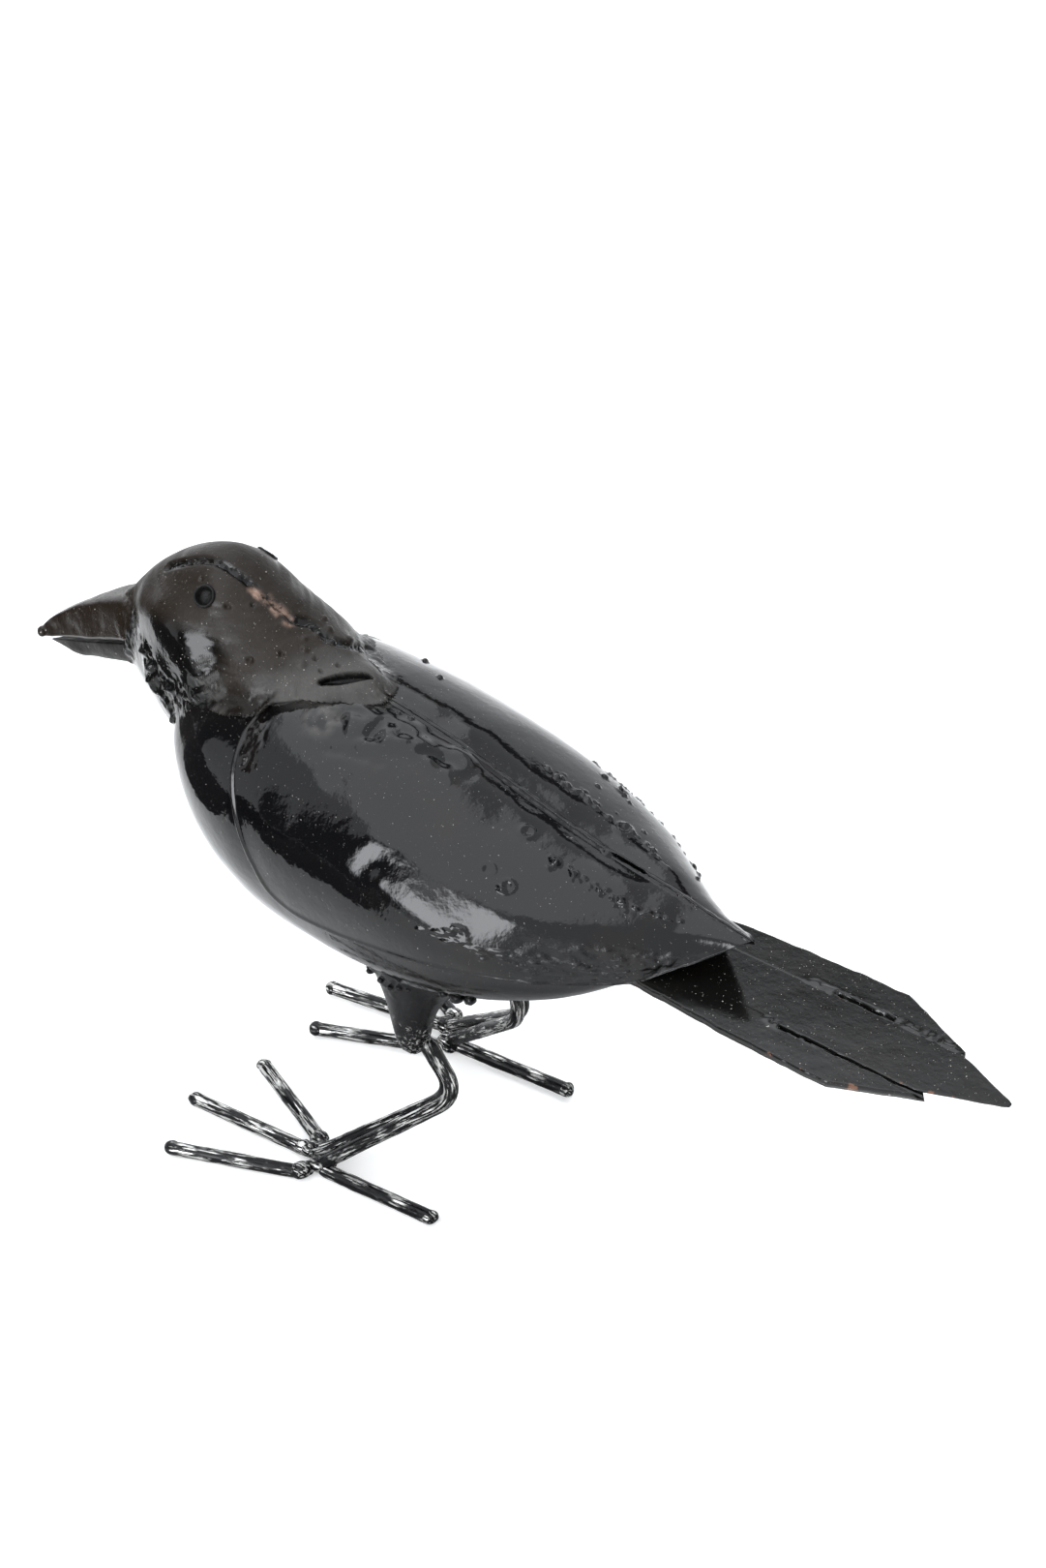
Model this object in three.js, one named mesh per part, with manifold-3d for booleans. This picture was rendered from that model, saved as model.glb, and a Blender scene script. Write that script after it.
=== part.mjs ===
// Metal crow sculpture: hammered sheet steel shells, a cut sheet tail and round rod legs, all welded.
// Millimetres, +Z up. The bird faces -X and its left side is -Y.
// The origin is on the ground, under the middle of its length and width.
import * as THREE from "three";
import * as BufferGeometryUtils from "three/addons/utils/BufferGeometryUtils.js";
import Module from "manifold-3d";

const wasm = await Module();
wasm.setup();

// Sheet, rod and the gaps between pieces
const WING_SHEET = 1.2;         // thickness of the hammered wing sheets
const WING_GAP = 0.8;           // between the body shell and the wing sheet laid over it
const TAIL_SHEET = 1.6;         // thickness of the cut tail sheets
const ROD = 6;                  // diameter of the leg and toe rods
const CLEARANCE = 0.4;          // left between pieces that are welded face to face
const SEAM_GAP = 0.4;           // between the two wings, along the seam on the back

// Facets round and along the shells, and round a rod
const BODY_ALONG = 28;
const BODY_AROUND = 36;
const HEAD_ALONG = 22;
const HEAD_AROUND = 28;
const WING_ALONG = 34;
const WING_DOWN = 10;
const BEAK_ALONG = 10;
const THIGH_AROUND = 20;
const ROD_SIDES = 12;
const BEND_STEPS = 5;
const EYE_SIDES = 16;
const EYE_RINGS = 4;

// Cross-sections of a shell, from front to back. x is the place along the bird, top and bottom are
// the heights of its back and belly on the centre line, half is half its width, and waist is the
// height of its widest line.
const BODY_SECTIONS = [
  { x: -134, top: 177, bottom: 177, half: 0, waist: 177 },
  { x: -128, top: 196, bottom: 148, half: 26, waist: 174 },
  { x: -108, top: 206, bottom: 120, half: 45, waist: 169 },
  { x: -80, top: 210, bottom: 102, half: 55, waist: 164 },
  { x: -48, top: 209, bottom: 96, half: 56, waist: 160 },
  { x: -14, top: 203, bottom: 99, half: 57, waist: 157 },
  { x: 22, top: 193, bottom: 109, half: 55, waist: 155 },
  { x: 54, top: 185, bottom: 124, half: 45, waist: 155 },
  { x: 77, top: 180, bottom: 139, half: 29, waist: 156 },
  { x: 88, top: 173, bottom: 150, half: 16, waist: 159 },
  { x: 92, top: 161, bottom: 161, half: 0, waist: 161 },
];

// The wings follow the body shell, then run on past it, open, to their free tips over the tail
const WING_SECTIONS = [
  ...BODY_SECTIONS.slice(0, 8),
  { x: 78, top: 181, bottom: 134, half: 29, waist: 155 },
  { x: 100, top: 176, bottom: 138, half: 14, waist: 157 },
  { x: 122, top: 172, bottom: 142, half: 6, waist: 163 },
];

// The head and neck shell, from behind the beak back to the point of its hem at the nape
const HEAD_SECTIONS = [
  { x: -173, top: 190, bottom: 190, half: 0, waist: 190 },
  { x: -170, top: 207, bottom: 173, half: 8, waist: 189 },
  { x: -162, top: 218, bottom: 167, half: 13, waist: 191 },
  { x: -150, top: 230, bottom: 159, half: 20, waist: 196 },
  { x: -134, top: 241, bottom: 150, half: 27, waist: 200 },
  { x: -116, top: 245, bottom: 150, half: 30, waist: 200 },
  { x: -98, top: 236, bottom: 150, half: 30, waist: 196 },
  { x: -80, top: 225, bottom: 150, half: 27, waist: 192 },
  { x: -62, top: 219, bottom: 155, half: 19, waist: 190 },
  { x: -47, top: 216, bottom: 170, half: 9, waist: 190 },
  { x: -42, top: 195, bottom: 195, half: 0, waist: 195 },
];

// Outline of a wing: place along the bird, and degrees from the seam round to the side.
// It runs from the seam along the shoulder, round the front and under, then up the free rear edge.
const WING_EDGE = [
  { x: -41, deg: 0 },
  { x: -60, deg: 7 },
  { x: -75, deg: 20 },
  { x: -81, deg: 37 },
  { x: -80, deg: 56 },
  { x: -74, deg: 75 },
  { x: -65, deg: 95 },
  { x: -52, deg: 106 },
  { x: -27, deg: 105 },
  { x: 0, deg: 100 },
  { x: 26, deg: 96 },
  { x: 52, deg: 95 },
  { x: 73, deg: 97 },
  { x: 87, deg: 95 },
  { x: 98, deg: 81 },
  { x: 107, deg: 68 },
  { x: 115, deg: 44 },
  { x: 122, deg: 0 },
];

// The seam between the wings runs down the middle of the back, from the shoulder to the wing tips.
// The rows of facets crowd a little towards the shoulder, where the outline turns fastest.
const SHOULDER_X = -41;
const WING_TIP_X = 122;
const SEAM_CROWDING = 1.25;

// Beaks. Cross-sections from the tip back: ridge and mouth line heights, and half width at the mouth.
const UPPER_BEAK = [
  { x: -228, ridge: 163, mouth: 161.5, half: 0.6 },
  { x: -219, ridge: 174, mouth: 165, half: 2.6 },
  { x: -203, ridge: 187, mouth: 173, half: 5.5 },
  { x: -183, ridge: 200.5, mouth: 182.5, half: 9.5 },
  { x: -166, ridge: 209, mouth: 191, half: 13 },
  { x: -150, ridge: 212, mouth: 197, half: 15 },
];
const LOWER_BEAK = [
  { x: -220, ridge: 163.3, mouth: 161.8, half: 0.6 },
  { x: -206, ridge: 169.5, mouth: 162.6, half: 3.2 },
  { x: -191, ridge: 176, mouth: 166.8, half: 5.8 },
  { x: -172, ridge: 184.5, mouth: 173.5, half: 8.5 },
  { x: -155, ridge: 191, mouth: 179, half: 10 },
];
const BEAK_ROUND = [0, 0.35, 0.7, 1];   // steps from the ridge down to the mouth line

// Eyes: domed studs, at a place along the head and degrees from the crown round to the side
const EYE = { x: -115, deg: 38, radius: 3.8, rise: 2 };

// Tail sheets, seen from above. Each outline runs round its feather. The side feathers lie under
// the edges of the middle one.
const TAIL_TOP = 155.4;
const SIDE_FEATHER = [
  [84, -2], [84, -22], [129, -25], [171, -28], [201, -14.5], [196, -6], [170, -3], [120, -2],
];
const MIDDLE_FEATHER = [
  [84, -12], [141, -13], [197, -13.5], [228, 0], [199, 13.5], [189, 12.6], [148, 13.5], [84, 12],
];

// Legs. Each row is a rod's centre line, from the tip of its toe. The front and rear rods of a leg
// are bent at the foot and at the heel and end in the thigh. The other two toes are straight rods.
const TOE_Z = ROD / 2;
const LEFT_LEG = {
  leg_front_rod: [[-113, -48, TOE_Z], [-52, -43, TOE_Z], [1.8, -19.1, 48.8], [-9.7, -24, 73]],
  leg_rear_rod: [[8, -43.5, TOE_Z], [-47.5, -48.5, TOE_Z], [7.3, -23.7, 53.2], [-4.8, -27, 78]],
  inner_toe: [[-103.5, -15.5, TOE_Z], [-54.8, -36, TOE_Z]],
  outer_toe: [[-102, -76, TOE_Z], [-49.8, -54.6, TOE_Z]],
};
const RIGHT_LEG = {
  leg_front_rod: [[-112.5, 39.5, TOE_Z], [-57.4, 49.8, TOE_Z], [0.5, 29.1, 55.7], [-6, 29.5, 75]],
  leg_rear_rod: [[8, 48.5, TOE_Z], [-51.6, 42.6, TOE_Z], [5.3, 19.6, 61.9], [-3.5, 23.5, 77]],
  inner_toe: [[-101, 15, TOE_Z], [-54.5, 36, TOE_Z]],
  outer_toe: [[-102, 76, TOE_Z], [-58, 56.4, TOE_Z]],
};
const FOOT_BEND = 7;            // how far before and after its corner a rod starts to turn
const HEEL_BEND = 9;

// The left thigh's cross-sections, from the rods up into the belly: centre, and half its length and width
const THIGH_SECTIONS = [
  { z: 68, x: -15, y: -24.5, long: 4.5, wide: 4 },
  { z: 74, x: -14.5, y: -25, long: 7, wide: 6.4 },
  { z: 85, x: -14, y: -25.5, long: 9.5, wide: 8 },
  { z: 96, x: -13, y: -26, long: 13, wide: 9.5 },
  { z: 107, x: -11, y: -27, long: 18.5, wide: 11 },
  { z: 118, x: -8, y: -28, long: 27, wide: 14 },
];

const TRIM_REACH = 30;          // how far the wings' cutting shape stands out, to trim the head there
const TRIM_MARGIN = 0.01;       // how far past the wing's outline it goes, as a share of the wing
const SAME_PLACE = 1e-3;        // points closer than this are one
const HALVINGS = 40;            // steps of a search along a shell

// A smooth value between control points, by a curve through them. The ends of a closed shell are
// mirrored past its poles, which rounds them off, and an open list runs straight on.
function between(list, u, keys, beyondStart, beyondEnd) {
  const last = list.length - 1;
  const s = THREE.MathUtils.clamp(u, 0, 1) * last;
  const i = Math.min(Math.floor(s), last - 1);
  const t = s - i;
  const pick = (k) => (k < 0 ? beyondStart : k > last ? beyondEnd : list[k]);
  const [a, b, c, d] = [pick(i - 1), pick(i), pick(i + 1), pick(i + 2)];
  const value = {};
  for (const key of keys) {
    const bend = 2 * a[key] - 5 * b[key] + 4 * c[key] - d[key];
    const turn = 3 * b[key] - a[key] - 3 * c[key] + d[key];
    value[key] = b[key] + 0.5 * t * (c[key] - a[key] + t * (bend + t * turn));
  }
  return value;
}

const SECTION_KEYS = ["x", "top", "bottom", "half", "waist"];

function pastPole(s) {
  return { x: s.x, top: s.bottom, bottom: s.top, half: -s.half, waist: s.waist };
}

function runOn(end, before, keys) {
  const next = {};
  for (const key of keys) {
    next[key] = 2 * end[key] - before[key];
  }
  return next;
}

function sectionAt(sections, u) {
  const n = sections.length;
  const start = pastPole(sections[1]);
  const open = sections[n - 1].half > 0;
  const end = open ? runOn(sections[n - 1], sections[n - 2], SECTION_KEYS) : pastPole(sections[n - 2]);
  return between(sections, u, SECTION_KEYS, start, end);
}

// A point of a shell: u runs along it, and the angle runs from the top over the left side and under
function shellPoint(sections, u, angle) {
  const s = sectionAt(sections, u);
  const c = Math.cos(angle);
  const reach = c > 0 ? s.top - s.waist : s.waist - s.bottom;
  return new THREE.Vector3(s.x, -s.half * Math.sin(angle), s.waist + reach * c);
}

// The same point moved out along the shell's normal
function offsetPoint(sections, u, angle, out) {
  const step = 1e-4;
  const p = shellPoint(sections, u, angle);
  const along = shellPoint(sections, u + step, angle).sub(shellPoint(sections, u - step, angle));
  const round = shellPoint(sections, u, angle + step).sub(shellPoint(sections, u, angle - step));
  const normal = round.cross(along).normalize();
  return p.addScaledVector(normal, out);
}

// Where along a shell, from 0 to 1, its cross-section reaches a given x
function placeAlong(sections, x) {
  let low = 0;
  let high = 1;
  for (let k = 0; k < HALVINGS; k++) {
    const middle = (low + high) / 2;
    if (sectionAt(sections, middle).x < x) low = middle;
    else high = middle;
  }
  return (low + high) / 2;
}

function meshFrom(points, index) {
  const g = new THREE.BufferGeometry();
  const flat = points.flatMap((p) => [p.x, p.y, p.z]);
  g.setAttribute("position", new THREE.Float32BufferAttribute(flat, 3));
  g.setIndex(index);
  return g;
}

// Two triangles for each cell of a grid of points. Rows run along the bird, columns down its side.
function gridFaces(index, rows, columns, at, flip) {
  for (let i = 0; i < rows; i++) {
    for (let j = 0; j < columns; j++) {
      const [a, b, c, d] = [at(i, j), at(i + 1, j), at(i + 1, j + 1), at(i, j + 1)];
      if (flip) index.push(a, b, c, a, c, d);
      else index.push(a, c, b, a, d, c);
    }
  }
}

// A closed shell between two poles
function shellGeometry(sections, along, around) {
  const points = [shellPoint(sections, 0, 0)];
  for (let i = 1; i < along; i++) {
    for (let j = 0; j < around; j++) {
      points.push(shellPoint(sections, i / along, (j / around) * Math.PI * 2));
    }
  }
  points.push(shellPoint(sections, 1, 0));
  const index = [];
  const ring = (i, j) => 1 + (i - 1) * around + (j % around);
  for (let j = 0; j < around; j++) {
    index.push(0, ring(1, j + 1), ring(1, j));
    index.push(points.length - 1, ring(along - 1, j), ring(along - 1, j + 1));
  }
  gridFaces(index, along - 2, around, (i, j) => ring(i + 1, j), false);
  return meshFrom(points, index);
}

// The same shell a little larger all round, used to cut clearance
function grown(sections, by) {
  const last = sections.length - 1;
  return sections.map((s, i) => ({
    x: i === 0 ? s.x - by : i === last ? s.x + by : s.x,
    top: s.half > 0 ? s.top + by : s.top,
    bottom: s.half > 0 ? s.bottom - by : s.bottom,
    half: s.half > 0 ? s.half + by : 0,
    waist: s.waist,
  }));
}

// A patch over the wing skin, between two distances from it, closed along its rim. The margin widens
// it past the wing's outline, and over the seam, so that it can cut the head clear of both wings.
function wingPatch(inner, outer, margin) {
  const points = [];
  const edge = WING_EDGE;
  const keys = ["x", "deg"];
  const start = runOn(edge[0], edge[1], keys);
  const end = runOn(edge[edge.length - 1], edge[edge.length - 2], keys);
  for (const out of [outer, inner]) {
    for (let i = 0; i <= WING_ALONG; i++) {
      const u = i / WING_ALONG;
      const rim = between(edge, u, keys, start, end);
      const seamX = SHOULDER_X + (WING_TIP_X - SHOULDER_X) * Math.pow(u, SEAM_CROWDING);
      for (let j = 0; j <= WING_DOWN; j++) {
        const v = (j / WING_DOWN) * (1 + margin);
        const x = THREE.MathUtils.lerp(seamX, rim.x, v);
        const angle = THREE.MathUtils.degToRad(rim.deg * v);
        const p = offsetPoint(WING_SECTIONS, placeAlong(WING_SECTIONS, x), angle, out);
        p.y = Math.min(p.y, margin > 0 ? 0 : -SEAM_GAP / 2);
        points.push(p);
      }
    }
  }
  const columns = WING_DOWN + 1;
  const layer = (WING_ALONG + 1) * columns;
  const top = (i, j) => i * columns + j;
  const under = (i, j) => layer + i * columns + j;
  const index = [];
  gridFaces(index, WING_ALONG, WING_DOWN, top, false);
  gridFaces(index, WING_ALONG, WING_DOWN, under, true);
  for (let i = 0; i < WING_ALONG; i++) {
    index.push(top(i, 0), top(i + 1, 0), under(i + 1, 0), top(i, 0), under(i + 1, 0), under(i, 0));
    const j = WING_DOWN;
    index.push(top(i, j), under(i + 1, j), top(i + 1, j), top(i, j), under(i, j), under(i + 1, j));
  }
  return tidy(meshFrom(points, index));
}

// Merges points that coincide and drops faces that have shrunk to a line
function tidy(geometry) {
  const plain = geometry.clone();
  plain.deleteAttribute("normal");
  plain.deleteAttribute("uv");
  const merged = BufferGeometryUtils.mergeVertices(plain, SAME_PLACE);
  const source = merged.index.array;
  const index = [];
  for (let k = 0; k < source.length; k += 3) {
    const [a, b, c] = [source[k], source[k + 1], source[k + 2]];
    if (a !== b && b !== c && c !== a) index.push(a, b, c);
  }
  merged.setIndex(index);
  return merged;
}

function toSolid(geometry) {
  const merged = tidy(geometry);
  return new wasm.Manifold(new wasm.Mesh({
    numProp: 3,
    vertProperties: new Float32Array(merged.attributes.position.array),
    triVerts: new Uint32Array(merged.index.array),
  }));
}

function toGeometry(solid) {
  const mesh = solid.getMesh();
  const g = new THREE.BufferGeometry();
  g.setAttribute("position", new THREE.BufferAttribute(new Float32Array(mesh.vertProperties), 3));
  g.setIndex(new THREE.BufferAttribute(new Uint32Array(mesh.triVerts), 1));
  return g;
}

// The mirror image of a left piece, for the right side
function mirrored(geometry) {
  const g = tidy(geometry);
  g.applyMatrix4(new THREE.Matrix4().makeScale(1, -1, 1));
  const index = g.index.array;
  for (let k = 0; k < index.length; k += 3) {
    [index[k], index[k + 1]] = [index[k + 1], index[k]];
  }
  return g;
}

// A beak half is a closed wedge with a round back: a smooth row of cross-sections
function beakGeometry(sections, upper) {
  const keys = ["x", "ridge", "mouth", "half"];
  const last = sections.length - 1;
  const start = runOn(sections[0], sections[1], keys);
  const end = runOn(sections[last], sections[last - 1], keys);
  const points = [];
  for (let i = 0; i <= BEAK_ALONG; i++) {
    const s = between(sections, i / BEAK_ALONG, keys, start, end);
    const from = upper ? s.ridge : s.mouth;
    const to = upper ? s.mouth : s.ridge;
    const side = BEAK_ROUND.map((r) => [s.half * Math.sqrt(1 - (1 - r) * (1 - r)), from + (to - from) * r * r]);
    const mirror = side.slice(1).map(([y, z]) => [-y, z]);
    const outline = [...side.slice(1).reverse(), side[0], ...mirror];
    for (const [y, z] of outline) points.push(new THREE.Vector3(s.x, y, z));
  }
  const n = 2 * BEAK_ROUND.length - 1;
  const index = [];
  const at = (i, j) => i * n + (j % n);
  gridFaces(index, BEAK_ALONG, n, at, !upper);
  for (let j = 1; j < n - 1; j++) {
    const tip = [at(0, 0), at(0, j + 1), at(0, j)];
    const base = [at(BEAK_ALONG, 0), at(BEAK_ALONG, j), at(BEAK_ALONG, j + 1)];
    if (upper) index.push(...tip, ...base);
    else index.push(...tip.reverse(), ...base.reverse());
  }
  return meshFrom(points, index);
}

// A flat sheet cut to an outline and laid with its underside at a height
function sheetGeometry(outline, thickness, z) {
  const shape = new THREE.Shape(outline.map(([x, y]) => new THREE.Vector2(x, y)));
  const g = new THREE.ExtrudeGeometry(shape, { depth: thickness, bevelEnabled: false });
  g.translate(0, 0, z);
  return g;
}

// A rod swept along straight runs joined by bends, from a toe on the ground upwards. One of its facets
// lies flat on the ground. The bends are those of the foot and the heel.
function rodGeometry(line, diameter = ROD) {
  const corners = line.map((p) => new THREE.Vector3(...p));
  const bends = [FOOT_BEND, HEEL_BEND];
  const stops = [corners[0]];
  for (let i = 1; i < corners.length - 1; i++) {
    const corner = corners[i];
    const before = corner.clone().add(corners[i - 1].clone().sub(corner).setLength(bends[i - 1]));
    const after = corner.clone().add(corners[i + 1].clone().sub(corner).setLength(bends[i - 1]));
    const bend = new THREE.QuadraticBezierCurve3(before, corner, after);
    stops.push(...bend.getPoints(BEND_STEPS));
  }
  stops.push(corners[corners.length - 1]);
  return sweep(stops, diameter);
}

function sweep(stops, diameter) {
  const radius = diameter / 2 / Math.cos(Math.PI / ROD_SIDES);
  const points = [];
  let up = new THREE.Vector3(0, 0, 1);
  stops.forEach((stop, i) => {
    const ahead = stops[Math.min(i + 1, stops.length - 1)];
    const behind = stops[Math.max(i - 1, 0)];
    const way = ahead.clone().sub(behind).normalize();
    up = up.clone().addScaledVector(way, -up.dot(way)).normalize();
    const side = new THREE.Vector3().crossVectors(way, up);
    for (let j = 0; j < ROD_SIDES; j++) {
      const a = ((j + 0.5) / ROD_SIDES) * Math.PI * 2;
      const p = stop.clone().addScaledVector(up, radius * Math.cos(a));
      points.push(p.addScaledVector(side, radius * Math.sin(a)));
    }
  });
  const index = [];
  const at = (i, j) => i * ROD_SIDES + (j % ROD_SIDES);
  gridFaces(index, stops.length - 1, ROD_SIDES, at, false);
  for (let j = 1; j < ROD_SIDES - 1; j++) {
    const end = stops.length - 1;
    index.push(at(0, 0), at(0, j + 1), at(0, j));
    index.push(at(end, 0), at(end, j), at(end, j + 1));
  }
  return meshFrom(points, index);
}

// A thigh is a tapered sheet cone under the belly
function thighGeometry() {
  const points = [];
  for (const s of THIGH_SECTIONS) {
    for (let j = 0; j < THIGH_AROUND; j++) {
      const a = (j / THIGH_AROUND) * Math.PI * 2;
      points.push(new THREE.Vector3(s.x + s.long * Math.cos(a), s.y + s.wide * Math.sin(a), s.z));
    }
  }
  const index = [];
  const at = (i, j) => i * THIGH_AROUND + (j % THIGH_AROUND);
  gridFaces(index, THIGH_SECTIONS.length - 1, THIGH_AROUND, at, false);
  const top = THIGH_SECTIONS.length - 1;
  for (let j = 1; j < THIGH_AROUND - 1; j++) {
    index.push(at(0, 0), at(0, j + 1), at(0, j));
    index.push(at(top, 0), at(top, j), at(top, j + 1));
  }
  return meshFrom(points, index);
}

// An eye is a small domed stud, set square on the side of the head
function eyeGeometry() {
  const u = placeAlong(HEAD_SECTIONS, EYE.x);
  const angle = THREE.MathUtils.degToRad(EYE.deg);
  const seat = shellPoint(HEAD_SECTIONS, u, angle);
  const out = offsetPoint(HEAD_SECTIONS, u, angle, 1).sub(seat);
  const profile = [new THREE.Vector2(0, -EYE.rise)];
  profile.push(new THREE.Vector2(EYE.radius, -EYE.rise));
  for (let k = 0; k <= EYE_RINGS; k++) {
    const a = (k / EYE_RINGS) * Math.PI / 2;
    const reach = k === EYE_RINGS ? 0 : EYE.radius * Math.cos(a);
    profile.push(new THREE.Vector2(reach, EYE.rise * Math.sin(a)));
  }
  const g = new THREE.LatheGeometry(profile, EYE_SIDES);
  g.applyQuaternion(new THREE.Quaternion().setFromUnitVectors(new THREE.Vector3(0, 1, 0), out));
  g.translate(seat.x, seat.y, seat.z);
  return g;
}

// Finishes
function finish(color, roughness, metalness) {
  return new THREE.MeshStandardMaterial({ color, roughness, metalness });
}
const glossBlack = finish(0x2c2c2e, 0.12, 0.3);
const brownBlack = finish(0x302c28, 0.22, 0.3);
const satinBlack = finish(0x383838, 0.4, 0.3);
const silveredBlack = finish(0x6a6a6c, 0.5, 0.6);
const speckledBlack = finish(0x3e3e40, 0.45, 0.4);

const crow = new THREE.Group();
function add(name, geometry, material) {
  const mesh = new THREE.Mesh(geometry, material);
  mesh.name = name;
  crow.add(mesh);
}
function addPair(name, geometry, material) {
  add("left_" + name, geometry, material);
  add("right_" + name, mirrored(geometry), material);
}

// Shapes that trim one piece clear of another
const bodyCutter = toSolid(shellGeometry(grown(BODY_SECTIONS, CLEARANCE), BODY_ALONG, BODY_AROUND));
const headCutter = toSolid(shellGeometry(grown(HEAD_SECTIONS, CLEARANCE), HEAD_ALONG, HEAD_AROUND));
const overWing = wingPatch(-WING_GAP, TRIM_REACH, TRIM_MARGIN);
const wingCutter = toSolid(overWing).add(toSolid(mirrored(overWing)));

function trimmed(geometry, ...cutters) {
  return toGeometry(cutters.reduce((solid, cutter) => solid.subtract(cutter), toSolid(geometry)));
}

// Body, wings and head
add("body", shellGeometry(BODY_SECTIONS, BODY_ALONG, BODY_AROUND), glossBlack);
addPair("wing", wingPatch(WING_GAP, WING_GAP + WING_SHEET, 0), glossBlack);
const headShell = shellGeometry(HEAD_SECTIONS, HEAD_ALONG, HEAD_AROUND);
add("head", trimmed(headShell, bodyCutter, wingCutter), brownBlack);
add("upper_beak", trimmed(beakGeometry(UPPER_BEAK, true), headCutter), brownBlack);
add("lower_beak", trimmed(beakGeometry(LOWER_BEAK, false), headCutter, bodyCutter), brownBlack);
addPair("eye", trimmed(eyeGeometry(), headCutter), brownBlack);

// Tail
const sideFeather = sheetGeometry(SIDE_FEATHER, TAIL_SHEET, TAIL_TOP - 2 * TAIL_SHEET - SEAM_GAP);
addPair("tail_feather", trimmed(sideFeather, bodyCutter), satinBlack);
const middleFeather = sheetGeometry(MIDDLE_FEATHER, TAIL_SHEET, TAIL_TOP - TAIL_SHEET);
add("middle_tail_feather", trimmed(middleFeather, bodyCutter), satinBlack);

// Legs. A thigh is socketed for the rods that end in it.
for (const [side, leg] of [["left", LEFT_LEG], ["right", RIGHT_LEG]]) {
  const thigh = side === "left" ? thighGeometry() : mirrored(thighGeometry());
  const sockets = [];
  for (const [name, line] of Object.entries(leg)) {
    add(side + "_" + name, rodGeometry(line), silveredBlack);
    sockets.push(toSolid(rodGeometry(line, ROD + 2 * CLEARANCE)));
  }
  add(side + "_thigh", trimmed(thigh, bodyCutter, ...sockets), speckledBlack);
}

export default crow;
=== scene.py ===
# %% [markdown]
# # A welded metal crow
# The object is a crow built from hammered sheet steel and round bar, then painted black. This lesson
# loads the measured solids as a fixed frame and builds a finer skin for each of them: the shells with
# their dents and weld spatter, the hand-cut tail, the dry-brushed legs, and the paint on all of it.

# %% Load the frame
import math

import bpy
import numpy as np
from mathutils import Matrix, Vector


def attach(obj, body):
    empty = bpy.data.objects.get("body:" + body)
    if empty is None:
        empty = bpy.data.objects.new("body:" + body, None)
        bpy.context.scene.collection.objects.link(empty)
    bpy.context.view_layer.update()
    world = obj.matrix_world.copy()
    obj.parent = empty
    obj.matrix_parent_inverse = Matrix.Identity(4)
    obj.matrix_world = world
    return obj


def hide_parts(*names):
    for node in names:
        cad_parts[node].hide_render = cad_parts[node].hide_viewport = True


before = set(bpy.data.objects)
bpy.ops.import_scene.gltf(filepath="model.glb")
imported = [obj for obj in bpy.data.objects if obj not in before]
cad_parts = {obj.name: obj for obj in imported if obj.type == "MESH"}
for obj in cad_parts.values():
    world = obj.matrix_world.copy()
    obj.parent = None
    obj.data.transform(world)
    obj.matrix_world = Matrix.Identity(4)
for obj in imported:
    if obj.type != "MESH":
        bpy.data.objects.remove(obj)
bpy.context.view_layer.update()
MM = 0.001

# %% [markdown]
# ## Numbers that describe the bird
# A shell is a row of cross-sections from front to back. Each row gives x, the heights of the back and
# the belly, half the width, and the height of the widest line, in millimetres. The wings follow the
# body and run on past it. The bird faces -X and its left side is -Y.

# %% Cross-sections of the body, wings and head
BODY = np.array([
    (-134, 177, 177, 0, 177), (-128, 196, 148, 26, 174), (-108, 206, 120, 45, 169),
    (-80, 210, 102, 55, 164), (-48, 209, 96, 56, 160), (-14, 203, 99, 57, 157),
    (22, 193, 109, 55, 155), (54, 185, 124, 45, 155), (77, 180, 139, 29, 156),
    (88, 173, 150, 16, 159), (92, 161, 161, 0, 161)], float)
WING = np.vstack([BODY[:8], [
    (78, 181, 134, 29, 155), (100, 176, 138, 14, 157), (122, 172, 142, 3, 163)]])
HEAD = np.array([
    (-173, 190, 190, 0, 190), (-170, 207, 173, 8, 189), (-162, 218, 167, 13, 191),
    (-150, 230, 159, 20, 196), (-134, 241, 150, 27, 200), (-116, 245, 150, 30, 200),
    (-98, 236, 150, 30, 196), (-80, 225, 150, 27, 192), (-62, 219, 155, 19, 190),
    (-47, 216, 170, 9, 190), (-42, 195, 195, 0, 195)], float)
WING_EDGE = np.array([
    (-41, 0), (-60, 7), (-75, 20), (-81, 37), (-80, 56), (-74, 75), (-65, 95), (-52, 106),
    (-27, 105), (0, 100), (26, 96), (52, 95), (73, 97), (87, 95), (98, 81), (107, 68),
    (115, 44), (122, 0)], float)
FRONT_EDGE = WING_EDGE[:8]
WING_GAP, WING_SHEET, TAIL_SHEET, ROD_RADIUS = 0.8, 1.2, 1.6, 3.0
EYE_X, EYE_DEG = -115.0, 38.0
SIDES = ((1, "left"), (-1, "right"))

# %% [markdown]
# ## Helpers for shape
# Smooth curves run through the rows above, and a point of a shell is found from how far along it lies
# and its angle from the top, over the left side and under. Noise with its size in millimetres gives
# the dents: a hammered sheet is never quite fair, and the big reflections in the paint show it.


# %% Curves and shells
def curve(rows, s, start, end):
    """Values at s, from 0 to 1, of a smooth curve through rows, with a row before and a row after."""
    rows = np.vstack([start, rows, end])
    last = len(rows) - 3
    place = clamp(s) * last
    i = np.minimum(place.astype(int), last - 1)
    t = (place - i)[..., None]
    a, b, c, d = rows[i], rows[i + 1], rows[i + 2], rows[i + 3]
    return b + 0.5 * t * (c - a + t * (2 * a - 5 * b + 4 * c - d + t * (3 * b - a - 3 * c + d)))


def curve_on(rows, s):
    """The same for rows whose curve runs straight on at both ends."""
    return curve(rows, s, 2 * rows[0] - rows[1], 2 * rows[-1] - rows[-2])


def unit(v, least=1e-12):
    return v / np.maximum(np.linalg.norm(v, axis=-1, keepdims=True), least)


def turns(count):
    return np.linspace(0, 2 * np.pi, count + 1)[:-1]


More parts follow.
